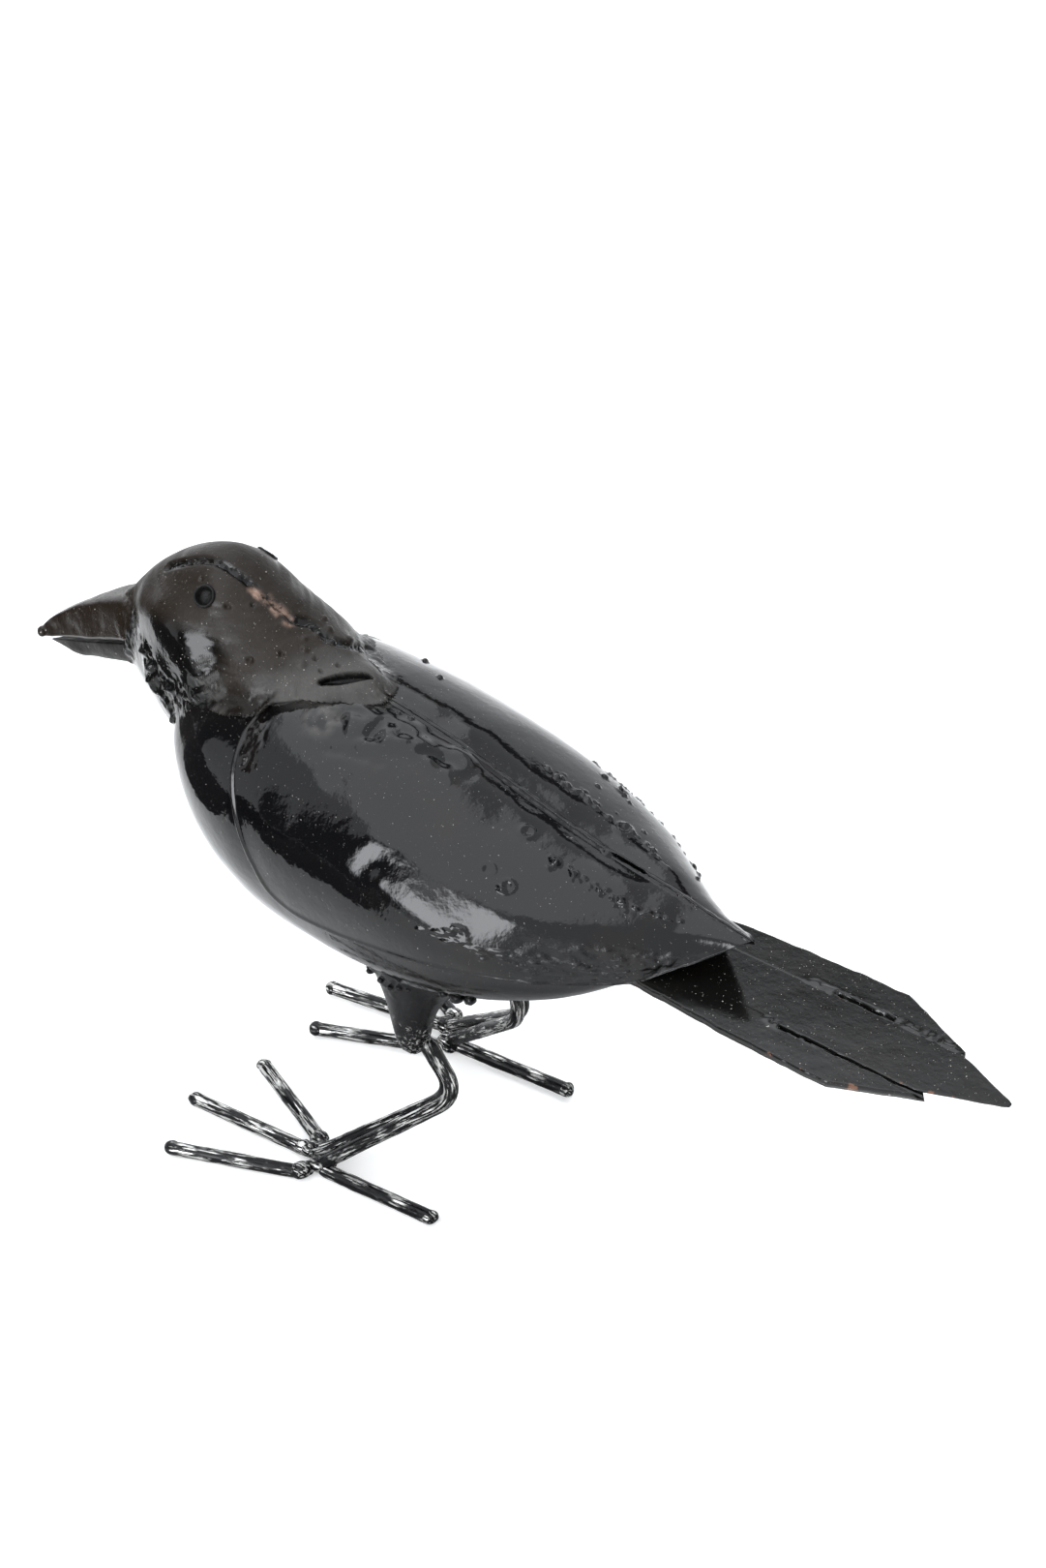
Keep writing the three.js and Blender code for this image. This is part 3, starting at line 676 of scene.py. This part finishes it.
# %% Eye studs
def build_eye(side):
    u, angle = place(HEAD, np.array(EYE_X)), np.radians(side * EYE_DEG)
    seat, out = skin(HEAD, u, angle), normals(HEAD, u, angle)
    across = unit(np.cross(out, (0, 0, 1.0)))
    up = np.cross(out, across)
    turn = turns(48)
    profile = [(4.6, -4.2), (4.5, -0.3), (4.3, 0.1), (4.0, 0.25), (3.7, 0.1), (3.4, -0.9),
               (3.0, -2.0), (2.2, -2.9), (1.0, -3.2)]
    rings = np.array([seat + h * out + r * (np.cos(turn)[:, None] * across + np.sin(turn)[:, None] * up)
                      for r, h in profile])
    rings = rings + 0.12 * noise(rings, 1.5, 51)[..., None] * out
    return tube(rings, seat - 4.4 * out, seat - 3.3 * out, matt=0.9)


for side, name in SIDES:
    piece(f"{name}_eye_stud", "brown_black", [f"{name}_eye"], build_eye(side))

# %% [markdown]
# ## The tail
# Three feathers cut from flat sheet with a cold chisel, so the edges wander a little. The side
# feathers lie under the edges of the middle one. Weld fills both joints flush near the body and runs
# out into a dark slit on each side.

# %% Tail feathers: the two long edges of each, seen from above
TAIL_TOP, SIDE_DROP = 155.4, 2.0
MIDDLE_EDGES = ([(84, -12), (141, -13), (197, -13.5), (225.4, -2.4), (227.6, -0.8)],
                [(84, 12), (148, 13.5), (189, 12.6), (199, 13.5), (226, 2.0), (227.6, 0.8)])
SIDE_EDGES = ([(84, -24), (129, -27), (150, -27.8), (171, -28), (202, -13.8)],
              [(84, -2), (120, -2), (170, -3), (196, -6)])


def along_edge(points, s):
    points = np.array(points, float)
    run = np.concatenate([[0], np.cumsum(np.linalg.norm(np.diff(points, axis=0), axis=1))])
    return np.stack([np.interp(s * run[-1], run, points[:, k]) for k in (0, 1)], -1)


def build_feather(edges, top, side, seed):
    s = np.linspace(0, 1, 160)
    left, right = along_edge(edges[0], s), along_edge(edges[1], s)
    v = np.linspace(0, 1, 61)[None, :, None]
    flat = left[:, None] * (1 - v) + right[:, None] * v
    p = np.concatenate([flat * (1, side), np.full(flat.shape[:2] + (1,), top)], -1)
    rim = clamp(1 - np.minimum(v[..., 0], 1 - v[..., 0]) * 15)
    p[..., 1] -= rim * (0.3 + 0.3 * rough(p, 6, seed)) * np.sign(v[..., 0] - 0.5) * side
    x, y = p[..., 0], np.abs(p[..., 1])
    h = 0.25 * noise(p * (1, 1, 0), 40, 61) + 0.03 * noise(p * (1, 1, 0), 6, 62) - 0.3
    if top == TAIL_TOP:
        slit = window(x, 152, 171, 5) * (p[..., 1] > 0)
        p[..., 1] -= slit * (1.2 + 0.5 * noise(p, 4, 68)) * clamp((y - 9) / 4)
    else:
        dip = window(x, 146, 206, 6) if side > 0 else window(x, 152, 171, 5)
        joint = clamp((x - 135) / 5) * bell(y - 13.4, 1.6)
        flush = np.where(dip > 0.5, 14.2 + 0.5 * noise(p, 5, 67), 9.2)
        h += clamp((y - flush) / 0.7) * (SIDE_DROP - 0.06)
        h += clamp((y - 10.6) / 1.5) * 0.1
        h -= 0.8 * dip * bell(y - 13, 0.8)
        h += joint * window(x, 138, 156, 4) * (0.2 + 0.5 * noise(p, 2.4, seed + 3))
        h += joint * (1 - dip) * (0.1 + 0.3 * noise(p, 2.2, seed + 3))
    face = p + np.stack([0 * h, 0 * h, h], -1)
    return sheet(face, p - (0, 0, TAIL_SHEET - 0.3), bulge=0.2, matt=0.1, rust=0.9 * rim ** 2)


for name, edges, top, side, seed in (("middle", MIDDLE_EDGES, TAIL_TOP, 1, 61),
                                     ("left", SIDE_EDGES, TAIL_TOP - SIDE_DROP, 1, 63),
                                     ("right", SIDE_EDGES, TAIL_TOP - SIDE_DROP, -1, 65)):
    piece(f"{name}_tail_sheet", "satin_black", [f"{name}_tail_feather"],
          build_feather(edges, top, side, seed))

# %% [markdown]
# ## The legs
# Each leg is two 6 mm bars side by side. The front bar turns forward into the middle toe, the rear bar
# turns back into the hind toe, and two straight bars make the other toes. The joints and the tips of
# the toes carry lumps of weld.

# %% Centre lines of the bars, from the tip of each toe, and the lumps of weld: x, y, z, radius
LEGS = {
    "left": {
        "leg_front_rod": [(-113, -48, 3), (-52, -43, 3), (1.8, -19.1, 48.8), (-9.7, -24, 73)],
        "leg_rear_rod": [(8, -43.5, 3), (-47.5, -48.5, 3), (7.3, -23.7, 53.2), (-4.8, -27, 78)],
        "inner_toe": [(-103.5, -15.5, 3), (-54.8, -36, 3)],
        "outer_toe": [(-102, -76, 3), (-49.8, -54.6, 3)]},
    "right": {
        "leg_front_rod": [(-112.5, 39.5, 3), (-57.4, 49.8, 3), (0.5, 29.1, 55.7), (-6, 29.5, 75)],
        "leg_rear_rod": [(8, 48.5, 3), (-51.6, 42.6, 3), (5.3, 19.6, 61.9), (-3.5, 23.5, 77)],
        "inner_toe": [(-101, 15, 3), (-54.5, 36, 3)],
        "outer_toe": [(-102, 76, 3), (-58, 56.4, 3)]}}
WELDS = {
    "left_leg_front_rod": [(-112, -48, 3.3, 3.3), (-54, -43.5, 4.6, 4.0), (-50.5, -41, 5.5, 3.4),
                           (-58, -43.8, 4.2, 3.4)],
    "left_leg_rear_rod": [(6.8, -43.6, 3.3, 3.4), (-46, -48, 4.6, 4.0), (-49, -50.5, 3.4, 3.0),
                          (-43, -45.5, 5.6, 3.2)],
    "left_inner_toe": [(-102.8, -15.8, 3.3, 3.3), (-55.8, -36.3, 4.2, 3.9)],
    "left_outer_toe": [(-101, -75.3, 3.3, 3.3), (-50.2, -54.3, 3.9, 4.0), (-48.5, -51.8, 2.6, 2.3)],
    "right_leg_front_rod": [(-111.5, 39.6, 3.3, 3.3), (-57, 48.8, 4.6, 4.2), (-52.5, 48.5, 6.0, 3.2)],
    "right_leg_rear_rod": [(6.8, 48.4, 3.3, 3.4), (-50.5, 42.2, 4.6, 4.4), (-48, 39.8, 3.8, 3.4),
                           (-46.5, 41.5, 6.5, 3.2)],
    "right_inner_toe": [(-100.3, 15.3, 3.3, 3.3), (-55.2, 36.2, 4.0, 3.8)],
    "right_outer_toe": [(-101.2, 75.4, 3.4, 3.3), (-58.5, 56.1, 3.8, 3.9)]}
BENDS = (7.0, 12.0)  # how far each bend reaches along the bar, at the toe and at the heel


# %% Bars
def rod_path(corners, step=1.0):
    """Points along straight runs joined by smooth bends, with about one step between them."""
    corners = np.array(corners, float)
    stops = [corners[0]]
    for i in range(1, len(corners) - 1):
        before, after = corners[i - 1] - corners[i], corners[i + 1] - corners[i]
        a, b = corners[i] + unit(before) * BENDS[i - 1], corners[i] + unit(after) * BENDS[i - 1]
        t = np.linspace(0, 1, 12)[:, None]
        stops += list((1 - t) ** 2 * a + 2 * t * (1 - t) * corners[i] + t * t * b)
    stops = np.array(stops + [corners[-1]])
    run = np.concatenate([[0], np.cumsum(np.linalg.norm(np.diff(stops, axis=0), axis=1))])
    s = np.linspace(0, run[-1], int(run[-1] / step) + 1)
    return np.stack([np.interp(s, run, stops[:, k]) for k in range(3)], -1), s


def build_rod(corners, seed, sides=32):
    path, s = rod_path(corners)
    way = unit(np.gradient(path, axis=0))
    up = np.array([0, 0, 1.0])
    turn = turns(sides)
    rings = []
    for p, w in zip(path, way):
        up = unit(up - w * up.dot(w))
        spoke = np.cos(turn)[:, None] * up + np.sin(turn)[:, None] * np.cross(w, up)
        rings.append(p + ROD_RADIUS * spoke)
    rings = np.array(rings)
    straight = np.stack([s[:, None] + 0 * turn, ROD_RADIUS * np.cos(turn) + 0 * s[:, None] + 20 * seed,
                         ROD_RADIUS * np.sin(turn) + 0 * s[:, None]], -1)
    worn = 0.14 * noise(straight * (0.4, 1, 1), 4, seed)
    worn += 0.10 * noise(straight * (0.5, 1, 1), 1.6, seed + 1)
    chamfer = 0.7 * clamp(1 - np.minimum(s, s[-1] - s)[:, None] / 1.2) ** 2
    out = (rings - path[:, None]) / ROD_RADIUS
    rings = path[:, None] + out * (ROD_RADIUS - 0.1 + worn - chamfer)[..., None]
    rings[..., 2] = np.maximum(rings[..., 2], 0.05)
    return tube(rings, path[0], path[-1], straight=straight)


for side, bars in LEGS.items():
    for k, (bar, corners) in enumerate(bars.items()):
        name = f"{side}_{bar}"
        lumps = [lump((x, y, max(z, 0.8 * r + 0.5)), r, 30 + 7 * k + i)
                 for i, (x, y, z, r) in enumerate(WELDS[name])]
        piece(name + "_bar", "silvered_black", [name], build_rod(corners, 70 + k), *lumps)

# %% [markdown]
# ## The thighs
# Sheet rolled to a cone and welded under the belly. The hem at the bars is ragged and the paint there
# is speckled with silver.

# %% Thigh cones: z, x, y, half length, half width, and the lumps of weld at the belly: x, y, z, radius
THIGH_WELDS = [(-29, 31, 106, 1.9), (-27, 34, 107, 1.5), (-19, 37.5, 109, 1.4), (-14, 38, 108, 1.2),
               (-9, 38.5, 111, 1.5), (-17, 38, 112, 1.1), (-4, 39, 113, 1.2), (12, 38, 119, 2.0),
               (17, 37, 119, 3.0), (23, 36, 120, 2.5)]
THIGH = np.array([(68, -15, -24.5, 4.5, 4), (74, -14.5, -25, 7, 6.4), (85, -14, -25.5, 9.5, 8),
                  (96, -13, -26, 13, 9.5), (107, -11, -27, 18.5, 11), (118, -8, -28, 27, 14)], float)


def build_thigh(side):
    s = np.linspace(0, 1, 90)
    c = curve_on(THIGH, s)[:, None]
    turn = turns(100)[None]
    p = np.stack([c[..., 1] + c[..., 3] * np.cos(turn),
                  side * (c[..., 2] + c[..., 4] * np.sin(turn)), c[..., 0] + 0 * turn], -1)
    out = unit(p - np.stack([c[..., 1] + 0 * turn, side * (c[..., 2] + 0 * turn), p[..., 2]], -1))
    ragged = clamp(1 - s / 0.2)[:, None]
    h = 0.4 * noise(p, 14, 81) + 0.1 * noise(p, 4, 82) + ragged * (0.5 * rough(p, 3, 83) + 0.3) - 0.3
    h += clamp((p[..., 2] - 98) / 8) * 0.9 * clamp(noise(p, 4.5, 84) - 0.25) * 2
    p = p + out * h[..., None]
    hem = clamp(1.5 - s / 0.4)[:, None] + 0.35 * clamp(-np.cos(turn) * 3 - 2)
    return tube(p, p[0].mean(0), p[-1].mean(0), hem=hem, straight=p)


for side, name in SIDES:
    drops = [lump((x, -side * y, z), r, 80 + k) for k, (x, y, z, r) in enumerate(THIGH_WELDS)]
    piece(name + "_thigh_cone", "speckled_black", [name + "_thigh"], build_thigh(side), *drops)

# %% [markdown]
# ## Helpers for finishes
# Colours are written as sRGB hex values and turned to linear light. Every finish is a node material
# whose patterns are sized in real millimetres, from the object's own coordinates.


# %% Colour and node helpers
def linear(hex_colour):
    channels = [int(hex_colour[k:k + 2], 16) / 255 for k in (1, 3, 5)]
    return [c / 12.92 if c <= 0.04045 else ((c + 0.055) / 1.055) ** 2.4 for c in channels] + [1.0]


def node(tree, kind, links=(), inputs=(), **settings):
    """Adds a node, sets its attributes and input values, and links its inputs to other nodes."""
    made = tree.nodes.new(kind)
    for key, value in settings.items():
        setattr(made, key, value)
    for key, value in dict(inputs).items():
        made.inputs[key].default_value = value
    for target, source in links:
        tree.links.new(source, made.inputs[target])
    return made


def new_material(name):
    material = bpy.data.materials.new(name)
    material.use_nodes = True
    material.node_tree.nodes.clear()
    return material, material.node_tree


def texture(tree, coordinates, size_mm, detail=3.0, roughness=0.5, stretch=(1, 1, 1)):
    """Plain noise with features of a size in millimetres."""
    mapping = node(tree, "ShaderNodeMapping", [("Vector", coordinates)], {"Scale": stretch})
    return node(tree, "ShaderNodeTexNoise", [("Vector", mapping.outputs[0])],
                {"Scale": 1000.0 / size_mm, "Detail": detail, "Roughness": roughness}).outputs[0]


def cut(tree, value, low, high, to_low=0.0, to_high=1.0):
    """Takes a value from low and high to two others, with soft ends."""
    return node(tree, "ShaderNodeMapRange", [("Value", value)],
                {"From Min": low, "From Max": high, "To Min": to_low, "To Max": to_high},
                interpolation_type="SMOOTHSTEP").outputs[0]


def maths(tree, operation, a, b):
    made = node(tree, "ShaderNodeMath", [(0, a)], operation=operation)
    if isinstance(b, (int, float)):
        made.inputs[1].default_value = b
    else:
        tree.links.new(b, made.inputs[1])
    return made.outputs[0]


def times(tree, a, b):
    return maths(tree, "MULTIPLY", a, b)


def mix(tree, factor, a, b):
    """Mixes two colours, each a hex value or a socket."""
    made = node(tree, "ShaderNodeMix", [(0, factor)], data_type="RGBA")
    for socket, value in ((made.inputs[6], a), (made.inputs[7], b)):
        if isinstance(value, str):
            socket.default_value = linear(value)
        else:
            tree.links.new(value, socket)
    return made.outputs[2]


def attribute(tree, name, output="Fac"):
    return node(tree, "ShaderNodeAttribute", attribute_name=name).outputs[output]


def surface(tree, colour, roughness, height, metal=None, inputs=()):
    """Height is in millimetres."""
    bumped = node(tree, "ShaderNodeBump", [("Height", height)], {"Distance": MM, "Strength": 1.0})
    shader = node(tree, "ShaderNodeBsdfPrincipled", [("Base Color", colour), ("Roughness", roughness),
                                                     ("Normal", bumped.outputs[0])], inputs)
    if metal is not None:
        tree.links.new(metal, shader.inputs["Metallic"])
    node(tree, "ShaderNodeOutputMaterial", [("Surface", shader.outputs[0])])


# %% [markdown]
# ## Black enamel
# Thick glossy paint over hammered steel. It mirrors the room, broken up by orange peel, with a brown
# tinge where it is thin and pale dust on top. The mesh carries where it is matt, brown, bare or rusty,
# and where it is paler: pale weld, and a painted highlight on the head's file strokes and near shoulder.
# Its index is matched to how dark the paint of the real bird stays in a white room.


# %% Enamel for the body, wings, head and tail
def enamel(name, base, brown, gloss, matt, peel_mm, dust, ior):
    material, tree = new_material(name)
    at = node(tree, "ShaderNodeTexCoord").outputs["Object"]
    clouds = texture(tree, at, 40, 4.0, 0.6)
    tinge = maths(tree, "MAXIMUM", attribute(tree, "brown"), cut(tree, clouds, 0.5, 0.75, 0.0, 0.6))
    colour = mix(tree, tinge, base, brown)
    # Paler where the mesh says: pale weld, and a painted highlight on the head's file strokes and near
    # shoulder.
    colour = mix(tree, times(tree, attribute(tree, "dusty"), 0.8), colour, "#403e3c")
    grit = texture(tree, at, 1.6, 4.0, 0.7)
    steel = times(tree, attribute(tree, "bare"), cut(tree, grit, 0.3, 0.5))
    colour = mix(tree, steel, colour, "#7d675a")
    spots = cut(tree, texture(tree, at, 9, 4.0, 0.7), 0.6, 0.68)
    colour = mix(tree, times(tree, attribute(tree, "rust"), spots), colour, "#5e4030")
    coarse = cut(tree, texture(tree, at, 1.3, 1.0), 0.77, 0.80)
    fine = cut(tree, texture(tree, at, 0.6, 1.0), 0.74, 0.79)
    specks = times(tree, maths(tree, "MAXIMUM", coarse, fine), dust)
    colour = mix(tree, specks, colour, "#b4b0a8")
    dull = maths(tree, "MULTIPLY_ADD", attribute(tree, "matt"), matt)
    tree.links.new(cut(tree, clouds, 0.35, 0.7, gloss[0], gloss[1]), dull.node.inputs[2])
    roughness = maths(tree, "ADD", dull, times(tree, specks, 0.4))
    peel = times(tree, texture(tree, at, 3.0, 2.0), peel_mm)
    torn = maths(tree, "MAXIMUM", attribute(tree, "matt"), attribute(tree, "torn"))
    grain = times(tree, times(tree, grit, torn), 0.3)
    height = maths(tree, "ADD", peel, maths(tree, "ADD", grain, times(tree, specks, 0.05)))
    surface(tree, colour, roughness, height, inputs={"IOR": ior})
    return material


gloss_black = enamel("gloss_black_enamel", "#060607", "#110c08", gloss=(0.05, 0.12), matt=0.45,
                     peel_mm=0.10, dust=0.3, ior=1.35)
brown_black = enamel("brown_black_enamel", "#060606", "#17110b", gloss=(0.08, 0.14), matt=0.45,
                     peel_mm=0.10, dust=0.7, ior=1.30)
satin_black = enamel("satin_black_enamel", "#0c0c0b", "#13100c", gloss=(0.08, 0.12), matt=0.3,
                     peel_mm=0.04, dust=0.6, ior=1.38)

# %% [markdown]
# ## Dry-brushed silver over black
# The bars were painted black and then brushed with a nearly dry silver brush, so the silver lies in
# broken streaks along them and the black shows in the hollows. The thin black mirrors less than the
# thick enamel.


# %% Paint for the bars and thighs
def brushed(name, size_mm, streak, cover, mask=None):
    material, tree = new_material(name)
    straight = node(tree, "ShaderNodeVectorMath", [(0, attribute(tree, "straight", "Vector"))],
                    operation="SCALE", inputs={"Scale": MM}).outputs[0]
    strokes = cut(tree, texture(tree, straight, size_mm, 4.0, 0.65, (streak, 1, 1)), *cover)
    blots = cut(tree, texture(tree, straight, 9.0, 3.0, 0.6, (0.5, 1, 1)), 0.42, 0.56, 0.0, 1.0)
    silver = times(tree, strokes, blots)
    if mask:
        silver = times(tree, silver, attribute(tree, mask))
    colour = mix(tree, silver, "#050506", "#d6d5d2")
    surface(tree, colour, cut(tree, silver, 0, 1, 0.25, 0.33), times(tree, strokes, 0.2),
            cut(tree, silver, 0, 1, 0.0, 0.9), {"Specular IOR Level": 0.2})
    return material


silvered = brushed("silver_brushed_black", 0.9, 0.07, (0.51, 0.56))
speckled = brushed("silver_speckled_black", 1.2, 1.0, (0.545, 0.605), "hem")

finishes = {"gloss_black": gloss_black, "brown_black": brown_black, "satin_black": satin_black,
            "silvered_black": silvered, "speckled_black": speckled}
for obj, slot in dressed:
    obj.data.materials.append(finishes[slot])
print(len(dressed), "pieces painted with", len(finishes), "finishes")

# %% [markdown]
# ## The studio
# A pale floor with a weak glow runs out of sight. The room is an even white, with one bright soft box
# to the bird's left, a brighter ceiling, and darker gaps that show in the enamel as black shapes. Three
# cards on the floor are seen only in reflections, all painted shade: two are dark and stand for the
# unlit floor of the real studio, and a grey one under the bird, darker in the middle, is its painted
# shadow.


# %% Floor
def build_floor():
    t = np.linspace(-1, 1, 41)
    x, y = np.meshgrid(t, t, indexing="ij")
    p = np.stack([x * 9000, y * 9000, 0 * x - 0.05], -1).reshape(-1, 3)
    floor = piece("floor", None, [], (p, quads(lambda i, j: i * 41 + j, 40, 40, flip=True), {}))
    material, tree = new_material("white_board")
    grain = texture(tree, node(tree, "ShaderNodeTexCoord").outputs["Object"], 2.0)
    glow = {"Emission Color": linear("#ffffff"), "Emission Strength": 0.32}
    surface(tree, mix(tree, grain, "#dcdcdb", "#e2e2e1"), cut(tree, grain, 0, 1, 0.6, 0.7),
            times(tree, grain, 0.01), inputs=glow)
    floor.data.materials.append(material)


# %% Cards of painted shade that show only as reflections: the colours at the middle and edge, and corner points in mm
CARDS = {"near_painted_shade_card": ("#0c0a08", "#0c0a08", [
             (-340, -340), (-190, -400), (-2900, -7800), (-6200, -6200)]),
         "front_painted_shade_card": ("#0c0a08", "#0c0a08", [
             (-640, -60), (-400, -70), (-340, -110), (-330, -200), (-400, -330), (-1500, -2400),
             (-5200, -7300), (-8600, -4000), (-8600, 600), (-700, 600)]),
         "painted_shadow_card": ("#8a8a8a", "#f4f4f3", [(-260, -190), (190, -190), (190, 170), (-260, 170)])}


def build_card(name, middle_colour, edge_colour, corners):
    points = np.array([(x, y, 0.5) for x, y in corners], float)
    card = piece(name, None, [], (points, [tuple(range(len(points)))], {}))
    card.visible_camera = card.visible_diffuse = card.visible_shadow = False
    material, tree = new_material(name)
    at = node(tree, "ShaderNodeTexCoord").outputs["Object"]
    away = node(tree, "ShaderNodeVectorMath", [(0, at)], operation="LENGTH").outputs["Value"]
    grain = texture(tree, at, 4.0)
    # The shadow card is darker in the middle than at its edge: a painted shadow under the bird. The dark
    # cards are one even painted shade.
    colour = mix(tree, cut(tree, away, 0.05, 0.19), middle_colour, edge_colour)
    surface(tree, colour, cut(tree, grain, 0, 1, 0.8, 0.9), grain)
    card.data.materials.append(material)


def build_fill():
    """Soft light from above that the paint doesn't mirror, so the bird's shadow stays faint."""
    data = bpy.data.lights.new("fill", "AREA")
    data.shape, data.size = "DISK", 5.0
    data.energy = 20
    fill = bpy.data.objects.new("fill", data)
    fill.location = (0, 0, 3.0)
    fill.visible_glossy = False
    bpy.context.scene.collection.objects.link(fill)


build_floor()
for name, card in CARDS.items():
    build_card(name, *card)
build_fill()

# %% Room light as panels: azimuth, elevation, half width, half height, lean, softness, brightness
PANELS = [(-155, 74, 45, 22, 0, 0.1, 3.3),    # ceiling
          (-161, 22, 16, 24, 0, 0.1, 0.12),   # gap in front of the bird
          (-115, 12, 9, 28, -17, 0.15, 0.12),  # gap beside the soft box
          (-94, 20, 12, 13, -15, 0.3, 14),    # soft box
          (105, 37, 45, 4, 0, 0.3, 0.15),     # far edge of the ceiling
          (20, 20, 60, 22, 0, 0.3, 0.4)]      # dim end of the room, behind the tail
WALLS = 1.6


def build_room():
    world = bpy.data.worlds.new("studio")
    bpy.context.scene.world = world
    world.use_nodes = True
    tree = world.node_tree
    tree.nodes.clear()
    direction = node(tree, "ShaderNodeTexCoord").outputs["Generated"]
    level = node(tree, "ShaderNodeValue").outputs[0]
    level.default_value = WALLS
    for azimuth, elevation, half_width, half_height, lean, soft, strength in PANELS:
        a, e, r = (math.radians(v) for v in (azimuth, elevation, lean))
        ahead = Vector((math.cos(a) * math.cos(e), math.sin(a) * math.cos(e), math.sin(e)))
        level_axis = Vector((math.sin(a), -math.cos(a), 0))
        upright = level_axis.cross(ahead)
        axes = (ahead, level_axis * math.cos(r) - upright * math.sin(r),
                level_axis * math.sin(r) + upright * math.cos(r))
        dots = [node(tree, "ShaderNodeVectorMath", [(0, direction)], {1: axis},
                     operation="DOT_PRODUCT").outputs["Value"] for axis in axes]
        inside = maths(tree, "GREATER_THAN", dots[0], 0.02)
        for dot, half in zip(dots[1:], (half_width, half_height)):
            slope = maths(tree, "ABSOLUTE", maths(tree, "DIVIDE", dot, dots[0]), 0.0)
            edge = math.tan(math.radians(half))
            within = cut(tree, slope, edge * (1 - soft), edge * (1 + soft), 1.0, 0.0)
            inside = times(tree, inside, within)
        level = node(tree, "ShaderNodeMix", [(0, inside), (2, level)], {3: strength},
                     data_type="FLOAT").outputs[0]
    background = node(tree, "ShaderNodeBackground", [("Strength", level)], {0: linear("#f8fbff")})
    node(tree, "ShaderNodeOutputWorld", [("Surface", background.outputs[0])])
    print("room:", len(PANELS), "panels")


build_room()

# %% [markdown]
# ## The camera
# The photo looks down at the bird's left side from about 1.25 m, at 37 degrees above the horizon. The
# place and lens were found from the bars of the legs and the plane of the toes.


# %% Camera
def build_camera():
    data = bpy.data.cameras.new("camera")
    data.sensor_width = 36
    data.lens = 70.07
    data.clip_start, data.clip_end = 0.01, 100
    camera = bpy.data.objects.new("camera", data)
    bpy.context.scene.collection.objects.link(camera)
    a, e = math.radians(36.9), math.radians(37.1)
    back = Vector((math.sin(a) * math.cos(e), -math.cos(a) * math.cos(e), math.sin(e)))
    camera.location = (0.552, -0.708, 0.867)
    camera.rotation_mode = "QUATERNION"
    camera.rotation_quaternion = (-back).to_track_quat("-Z", "Y")
    bpy.context.scene.camera = camera
    print("camera:", round(camera.location.length, 3), "m away, lens", data.lens, "mm")


build_camera()
bpy.context.scene.view_settings.view_transform = "Standard"
bpy.context.scene.view_settings.look = "None"
